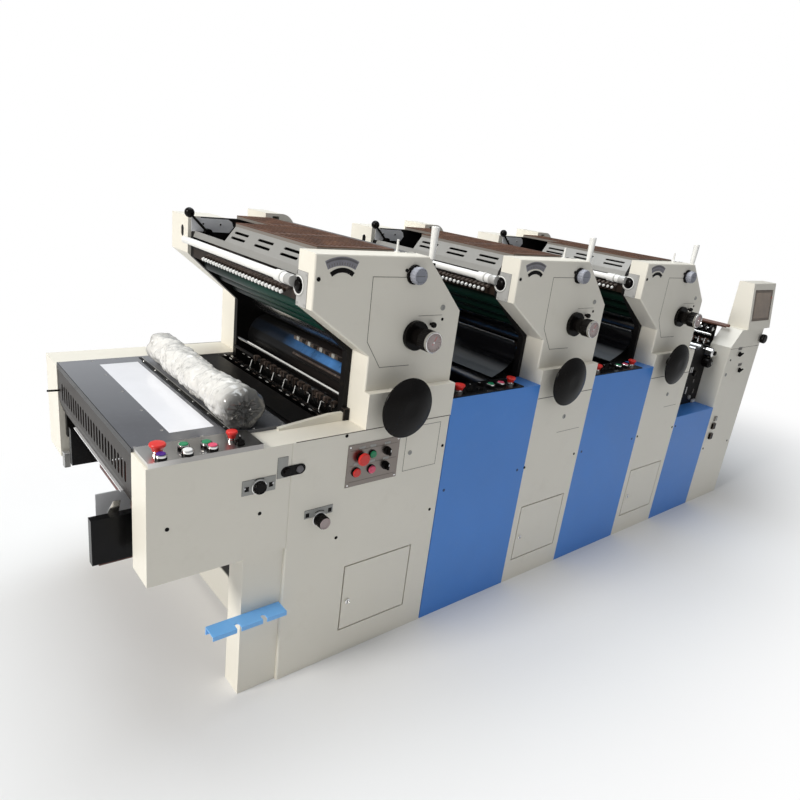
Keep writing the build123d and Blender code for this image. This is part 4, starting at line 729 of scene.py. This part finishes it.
# Black stadium slot with two switches in it
SLOT_Z = 729.5
SLOT_RADIUS = 16
outline = []
for x, start in ((-16, 90), (31, -90)):
    for step in range(13):
        angle = radians(start + 15 * step)
        outline.append(at(x + SLOT_RADIUS * cos(angle), 0, SLOT_Z + SLOT_RADIUS * sin(angle)))
fittings.prism(outline, Vector((0, -0.002, 0)), BLACK, 0.5)
fittings.turn(at(-12, -2, SLOT_Z), OUT, [(0, 0), (11, 0), (10, 6), (0, 7)], BLACK, 28)
fittings.turn(at(28, -2, SLOT_Z), OUT, [(0, 0), (11, 0), (10, 4), (0, 5)], "scale_dark", 28)
# Engraved lines, small label strips and corner screws on the cabinet's control plate
for z in (702, 752, 648):
    fittings.ribbon([at(200, PANEL_Y, z), at(378, PANEL_Y, z)], 1.0, OUT, "seam_dark")
for x, z in ((241, 757), (282, 757), (338, 757), (226, 706), (283, 706), (337, 706)):
    fittings.block(x - 11, x + 11, PANEL_Y - 0.6, PANEL_Y, z - 4, z + 4, "label_grey", 0)
for x, z in ((198, 764), (380, 764), (198, 639), (380, 639)):
    fittings.turn(at(x, PANEL_Y, z), OUT, [(0, 0), (3.4, 0), (2.6, 1.4), (0, 1.8)], "chrome", 16)
# Peg at the far end of the vent panel
fittings.bar(at(-430, 855, 728), at(-392, 850, 728), 3.5, BLACK)
fittings.finish()

# Console screen, feeder knob and switches
console = Piece("console_fittings", "bezel_grey", "screen_glass", BLACK, "chrome", "label_grey",
                "seam_dark", "red_cap")
LEAN = Vector((0, 34, 240)).normalized()  # up along the console's leaning face
INTO = Vector((0, LEAN.z, -LEAN.y))
FOOT = at(2725, -4, 995)  # lower left corner of that face


def on_console(x, up, depth):
    """Point on the leaning face in metres, from millimetres along it, up it and into it."""
    return FOOT + Vector((x / 1000, 0, 0)) + LEAN * up / 1000 + INTO * depth / 1000


def console_plate(x0, x1, up0, up1, depth, thick, look, bevel=0.8):
    """Plate on the leaning face, its back a depth inside it."""
    outline = [on_console(x0, up0, depth), on_console(x1, up0, depth), on_console(x1, up1, depth),
               on_console(x0, up1, depth)]
    console.prism(outline, INTO * -thick / 1000, look, bevel)


console_plate(25, 245, 45, 207, 5.6, 5.0, "bezel_grey", 1.5)
console_plate(40, 226, 58, 194, 0.9, 0.6, "screen_glass", 0.3)
for up, look in ((166, "red_cap"), (120, "label_grey"), (84, "label_grey")):
    console_plate(230, 241, up - 6, up + 6, 0.8, 1.6, look)
knob_place = at(2920, 0, 940)
console.turn(knob_place, OUT, [(0, 0), (11, 0), (11, 3), (9, 4)], "chrome")
console.turn(knob_place, OUT, [(10, 3), (23, 7), (25, 11), (25, 26), (22, 30)], BLACK, 60, lobes=12,
             lobe_depth=0.06)
console.turn(knob_place, OUT, [(22, 30), (0, 31.5)], BLACK)
# Two toggles, each under a label with three lines
for x, z in ((2708, 864), (2763, 771)):
    console.turn(at(x, 0, z), OUT, [(0, 0), (9, 0), (9, 3), (7, 4), (0, 4)], "chrome", 28)
    console.turn(at(x, -3, z), OUT, [(0, 0), (13, 0), (13, 5), (9, 9), (0, 9)], BLACK)
    console.bar(at(x - 13, -12, z - 8), at(x + 15, -16, z + 8), 4.6, BLACK)
    console.block(x - 22, x + 22, -0.8, 0, z + 22, z + 38, "label_grey", 0.2)
    for row in (26, 30, 34):
        console.ribbon([at(x - 18, -0.8, z + row), at(x + 18, -0.8, z + row)], 2.4, OUT, "seam_dark")
# Two sockets and a grey box on the feeder's side
for z in (462, 403):
    console.block(2628, 2656, -14, 0, z - 17, z + 17, BLACK, 2.0)
console.block(2636, 2664, -8, 0, 490, 516, "label_grey", 2.0)
console.finish()

# Rings where the fountain rollers' bearings sit in the noses, with bright inserts on the frame edge
noses = Piece("nose_bearings", "black_sheet", "white_plastic", BLACK, "sleeve_grey", "label_grey")
COLLAR = [(0, 0), (16.6, 0), (17.4, 1), (17.4, 5), (16, 6.5), (12, 6.5)]
SLEEVE = [(0, 0), (15, 0), (16.2, 3), (16.4, 20), (15.4, 30), (16.2, 52), (15.6, 57)]
for front in TOWERS:
    middle = at(front - 192, 97, 1227)
    plate = front - 205.4
    noses.block(plate, front - 204, 54, 106, 1172, 1268, "sleeve_grey", 0.3)
    noses.turn(middle, LEFT, [(0, 2), (31, 2), (31, 13), (29.5, 14), (26.5, 14)], "label_grey", 48)
    noses.turn(middle, LEFT, [(26.5, 14), (26, 15.4), (23.4, 15.4), (22.6, 14)], "white_plastic", 48)
    noses.turn(middle, LEFT, [(22.6, 14.2), (20, 13.6), (0, 13.6)], "black_sheet", 48)
    noses.turn(middle, LEFT, [(0, 13), (15, 13), (15, 19), (12, 21), (0, 21)], BLACK)
    for y, z in ((62, 1260), (62, 1180), (99, 1180)):
        noses.turn(at(plate, y, z), LEFT, [(0, 0), (3.4, 0), (2.8, 1.2), (0, 1.5)], "label_grey", 14)
    # White collar and grey sleeve on the fountain roller's near end
    noses.turn(at(front - 216, 163, 1237), BACK, COLLAR, "white_plastic", 40)
    noses.turn(at(front - 216, 107, 1237), BACK, SLEEVE, "sleeve_grey", 40)
noses.finish()

# Inner faces of the gear side boxes: a grey sheet with two screws, painted pale for the light it lacks in
# shade, and the louvre cover's dark end cheek, whose black partly stands for the shade under the front box
inner = Piece("gear_side_sheets", "panel_grey", "black_sheet", "chrome", "seam_dark")
SHEET_Y = FRAME_FAR - 0.5
CHEEK_Y = 598
for front in TOWERS:
    sheet = [(-202, 1269), (-62, 1269), (-46, 1288), (-52, 1306), (-66, 1315), (-202, 1315)]
    inner.prism([at(front + x, SHEET_Y, z) for x, z in sheet], Vector((0, 0.0015, 0)), "panel_grey")
    for x in (-160, -96):
        inner.turn(at(front + x, SHEET_Y, 1296), OUT, [(0, 0), (4, 0), (3.4, 1.6), (0, 2)], "chrome", 16)
    cheek = [(-192, 1256), (-184, 1271), (-150, 1309), (-128, 1309), (-132, 1256)]
    inner.prism([at(front + x, CHEEK_Y, z) for x, z in cheek], Vector((0, 0.003, 0)), "black_sheet")
inner.finish()

# Bright rods along the tops of the transfer guards
rods = Piece("guard_rods", "chrome", "black_sheet")
for front in TOWERS[1:]:
    rods.bar(at(front - 36, FRAME_NEAR, 1003), at(front - 36, FRAME_FAR, 1003), 3.2)
rods.finish()

# Machinery that shows between the delivery and the first tower
works = Piece("gripper_fingers", "brown_with_glints", "seam_dark", "chrome", "frame_black", "polished", "label_grey")


def cross_bar(x, z, far, radius, look):
    """Bar from the operator's side frame to a place across the press."""
    works.bar(at(x, FRAME_NEAR, z), at(x, far, z), radius, look)


# Fingers on the two gripper bars
for bar_x in (196.0, 272.0):
    for step in range(15):
        y = 152 + step * 48
        works.block(bar_x - 5, bar_x + 10, y, y + 11, 811.6, 815, "frame_black")
        # Two fingers in three are painted pale as a glint, the third brown
        look = "polished" if step % 3 else "brown_with_glints"
        works.block(bar_x - 13, bar_x - 9, y + 1, y + 20, 809.5, 811.5, look, 0.6)
# Sheet guides on their two bars, set by hand at uneven distances
# The thin upper bar and the wires are painted pale as a glint
cross_bar(234, 884, 750, 3.0, "polished")
cross_bar(226, 845, FRAME_FAR, 6, "frame_black")
for step, y in enumerate((134, 171, 214, 246, 292, 330, 371, 402, 448, 487, 520, 566, 601, 644)):
    width = 26 if step % 3 else 18
    works.block(218, 236, y, y + width, 838 + 3 * (step % 2), 856, "brown_with_glints", 1.6)
    works.block(214, 219, y + 4, y + 10, 828, 858, "frame_black")
    if step % 2:
        works.bar(at(216, y + width + 5, 838), at(207, y + width + 2, 812), 1.3, "polished", 8)
# Brown rail with black and pale clamps before the blanket cylinder
works.block(262, 276, FRAME_NEAR, 470, 968, 980, "brown_with_glints", 1.5)
for step in range(9):
    y = 140 + step * 36
    works.block(259, 263, y, y + 18, 970, 984, "frame_black" if step % 2 else "label_grey", 0.8)
cross_bar(270, 915, 480, 4, "brown_with_glints")
cross_bar(266, 900, 480, 2.5, "frame_black")
# Black foot where the rail ends at the side frame
works.block(226, 248, 88, 106, 808, 850, "frame_black", 1.5)
works.finish()

# Stop plate on the board's tongue, bright clip on the near guide, bracket in the far side box
stops = Piece("delivery_stops", "panel_grey", "chrome", "block_grey")
stops.block(-444, -352, 254, 257, 447, 636, "panel_grey", 0.8)
clip = [(-428, 588), (-404, 602), (-398, 640), (-416, 642), (-431, 612)]
stops.prism([at(x, 188.4, z) for x, z in clip], Vector((0, 0.002, 0)), "chrome")
stops.block(-392, -372, 838, 863, 446, 500, "block_grey", 1.2)
stops.finish()

# Thin black edge where the cover meets the vent panel, strip beside the window
edging = Piece("cover_edging", "black_sheet", "block_grey", "panel_grey", "chrome")
edging.block(-394.2, -392.6, 107, 863, 803, COVER_TOP + 0.6, "black_sheet", 0.3)
edging.block(-136, -126, 118, 846, COVER_TOP - 0.4, COVER_TOP + 2, "black_sheet", 0.6)
edging.block(-126, -121, 118, 846, COVER_TOP - 0.4, COVER_TOP + 1.6, "block_grey", 0.5)
for step in range(7):
    place = at(-131, 150 + step * 108, COVER_TOP + 2)
    edging.turn(place, UP, [(0, 0), (3.6, 0), (3, 1.4), (0, 1.8)], "chrome", 14)
# Pale strip under the vent panel's folded foot
edging.block(-388, -380, 220, 700, 646, 651, "panel_grey", 0.5)
edging.finish()

# Cross bars, wheels and shafts at the feeder's front
feed = Piece("feeder_works", "brown_bar", "chrome", BLACK, "white_plastic", "steel", "block_grey")
for x in (2612, 2650):
    feed.bar(at(x, 62, 1004), at(x, 950, 1004), 8, "brown_bar")
SHAFTS = ((2578, 978, 5, "chrome", 16), (2560, 951, 6, "chrome", 16), (2560, 915, 5, "block_grey", 16),
          (2572, 853, 27, "chrome", 40), (2600, 784, 30, BLACK, 40))
for x, z, radius, look, segments in SHAFTS:
    feed.bar(at(x, FEED_NEAR, z), at(x, FEED_FAR, z), radius, look, segments)
feed.block(2600, 2604, FEED_NEAR, FEED_FAR, 884, 1000, BLACK, 0.5)
feed.block(2590, 2594, FEED_NEAR, FEED_FAR, 640, 884, BLACK, 0.5)
# Wheels, suction heads and guides in a row across the sheet
WHEEL = [(5, 0), (17, 0), (19, 3), (19, 13), (17, 16), (5, 16)]
for step in range(22):
    y = 112 + step * 34
    feed.turn(at(2578, y, 978), BACK, WHEEL, BLACK, 28)
    feed.turn(at(2578, y - 1, 978), BACK, [(5, 0), (10, 0), (10, 1.4), (5, 1.4)], "white_plastic", 24)
    feed.block(2546, 2574, y + 4, y + 20, 904, 926, BLACK, 2)
    feed.block(2542, 2548, y + 8, y + 15, 900, 932, "chrome", 1)
    feed.block(2550, 2590, y + 22, y + 28, 946, 954, "white_plastic", 1)
# Two drums with their hubs at the near side
feed.bar(at(2556, 58, 862), at(2556, 107, 862), 26, "chrome", 48)
feed.turn(at(2556, 58, 862), OUT, [(0, 0.2), (12, 0.2), (12, 4), (9, 6), (0, 6)], BLACK, 28)
feed.bar(at(2556, 62, 806), at(2556, 107, 806), 27, BLACK, 48)
feed.turn(at(2556, 62, 806), OUT, [(0, 0.2), (9, 0.2), (9, 5), (7, 6), (0, 6)], "steel", 28)
# Small brackets and knobs on the frame's near face
for x, z, half in ((2438, 766, 15), (2456, 766, 15), (2450, 652, 20), (2505, 700, 9), (2530, 640, 12)):
    look = "white_plastic" if x < 2500 else "block_grey"
    feed.block(x, x + 7, 103.5, 106.5, z - half, z + half, look, 0.6)
feed.block(2540, 2574, 98, 106.5, 574, 592, "white_plastic", 1.2)
feed.turn(at(2490, 106.2, 745), OUT, [(0, 0), (16, 0), (16, 9), (12, 12), (0, 12)], BLACK)
feed.turn(at(2500, 106.2, 610), OUT, [(0, 0), (12, 0), (12, 8), (9, 10), (0, 10)], "block_grey", 28)
feed.finish()

# Screws on the delivery's cover: a row across it and pairs at its two sides
screws = Piece("cover_screws", "chrome", "seam_dark")
for y in (190, 350, 520, 690, 845):
    screws.turn(at(-290, y, COVER_TOP), UP, [(0, 0), (4.5, 0), (4, 1.4), (0, 1.8)], "chrome", 16)
for x in (-385, -210, -60, 30):
    for y in (113, 857):
        screws.turn(at(x, y, COVER_TOP), UP, [(0, 0), (4, 0), (3.6, 1.2), (0, 1.6)], "chrome", 16)
screws.finish()

# Studio floor: away from the press it turns to plain white paper for the camera
FLOOR_HALF = 30
corners = [(FLOOR_HALF * x, FLOOR_HALF * y, 0) for x, y in ((-1, -1), (1, -1), (1, 1), (-1, 1))]
floor_mesh = bpy.data.meshes.new("studio_floor")
floor_mesh.from_pydata(corners, [], [(0, 1, 2, 3)])
floor = bpy.data.objects.new("studio_floor", floor_mesh)
bpy.context.scene.collection.objects.link(floor)
paper = surface("studio_floor", (0.82, 0.82, 0.82), 0.7, spread=0.01, patch=0.6, grain=60, bump=0.02,
                specular=0.1)
floor_mesh.materials.append(paper)
tree = paper.node_tree
where = node(tree, "TexCoord", {})
squeeze = node(tree, "Mapping", {"Scale": (0.42, 1, 1), "Vector": where.outputs["Object"]})
away = node(tree, "VectorMath", {0: squeeze.outputs["Vector"]}, operation="LENGTH")
fade = node(tree, "MapRange", {"From Min": 0.85, "From Max": 1.7, "Value": away.outputs["Value"]},
            interpolation_type="SMOOTHSTEP")
seen = node(tree, "LightPath", {})
share = node(tree, "Math", {0: fade.outputs["Result"], 1: seen.outputs["Is Camera Ray"]},
             operation="MULTIPLY")
white = node(tree, "Emission", {"Color": (1, 1, 1, 1)})
blend = node(tree, "MixShader", {0: share.outputs["Value"], 1: tree.nodes["Principled BSDF"].outputs[0],
                                 2: white.outputs[0]})
connect(tree, tree.nodes["Material Output"], {"Surface": blend.outputs[0]})

# World: soft light for the press, plain white for the camera
world = bpy.data.worlds.new("studio")
bpy.context.scene.world = world
world.use_nodes = True
tree = world.node_tree
soft = tree.nodes["Background"]
connect(tree, soft, {"Color": (0.95, 0.97, 1.0, 1), "Strength": 0.325})
plain = node(tree, "Background", {"Color": (1, 1, 1, 1), "Strength": 1.0})
ray = node(tree, "LightPath", {})
choose = node(tree, "MixShader", {0: ray.outputs["Is Camera Ray"], 1: soft.outputs[0], 2: plain.outputs[0]})
connect(tree, tree.nodes["World Output"], {"Surface": choose.outputs[0]})


def area_light(name, place, aim, size, power, colour):
    """Rectangular light of a size in metres and a power in watts, turned towards its aim."""
    data = bpy.data.lights.new(name, "AREA")
    data.shape = "RECTANGLE"
    data.size, data.size_y = size
    data.energy = power
    data.color = colour
    made = bpy.data.objects.new(name, data)
    made.location = place
    made.rotation_euler = (Vector(aim) - Vector(place)).to_track_quat("-Z", "Y").to_euler()
    bpy.context.scene.collection.objects.link(made)
    return made


lights = [
    area_light("key", (-12.6, 0.1, 7.2), (-0.3, 0.0, 0.8), (3.6, 3.6), 1380, (1, 0.97, 0.92)),
    area_light("top", (-0.3, 0.9, 4.8), (0, 0.1, 0.8), (4.4, 2.6), 150, (0.91, 0.96, 1)),
    area_light("fill", (0.4, -5.0, 2.4), (0.1, -0.2, 0.7), (5.0, 2.6), 8, (0.95, 0.97, 1)),
]

# Camera solved from the photograph's own edges
CAMERA_PLACE = (-2.1155, -1.873, 1.528)
CAMERA_RIGHT = (0.7731, -0.623, 0.1194)
CAMERA_FORWARD = (0.6235, 0.7119, -0.3232)
camera_data = bpy.data.cameras.new("photo_camera")
camera_data.lens = 28.98
camera_data.sensor_width = 36
camera_data.clip_end = 200
camera = bpy.data.objects.new("photo_camera", camera_data)
forward = Vector(CAMERA_FORWARD).normalized()
up = Vector(CAMERA_RIGHT).normalized().cross(forward).normalized()
right = forward.cross(up)
pose = Matrix((right, up, -forward)).transposed().to_4x4()
pose.translation = Vector(CAMERA_PLACE)
camera.matrix_world = pose
bpy.context.scene.collection.objects.link(camera)
bpy.context.scene.camera = camera
bpy.context.scene.view_settings.view_transform = "Standard"
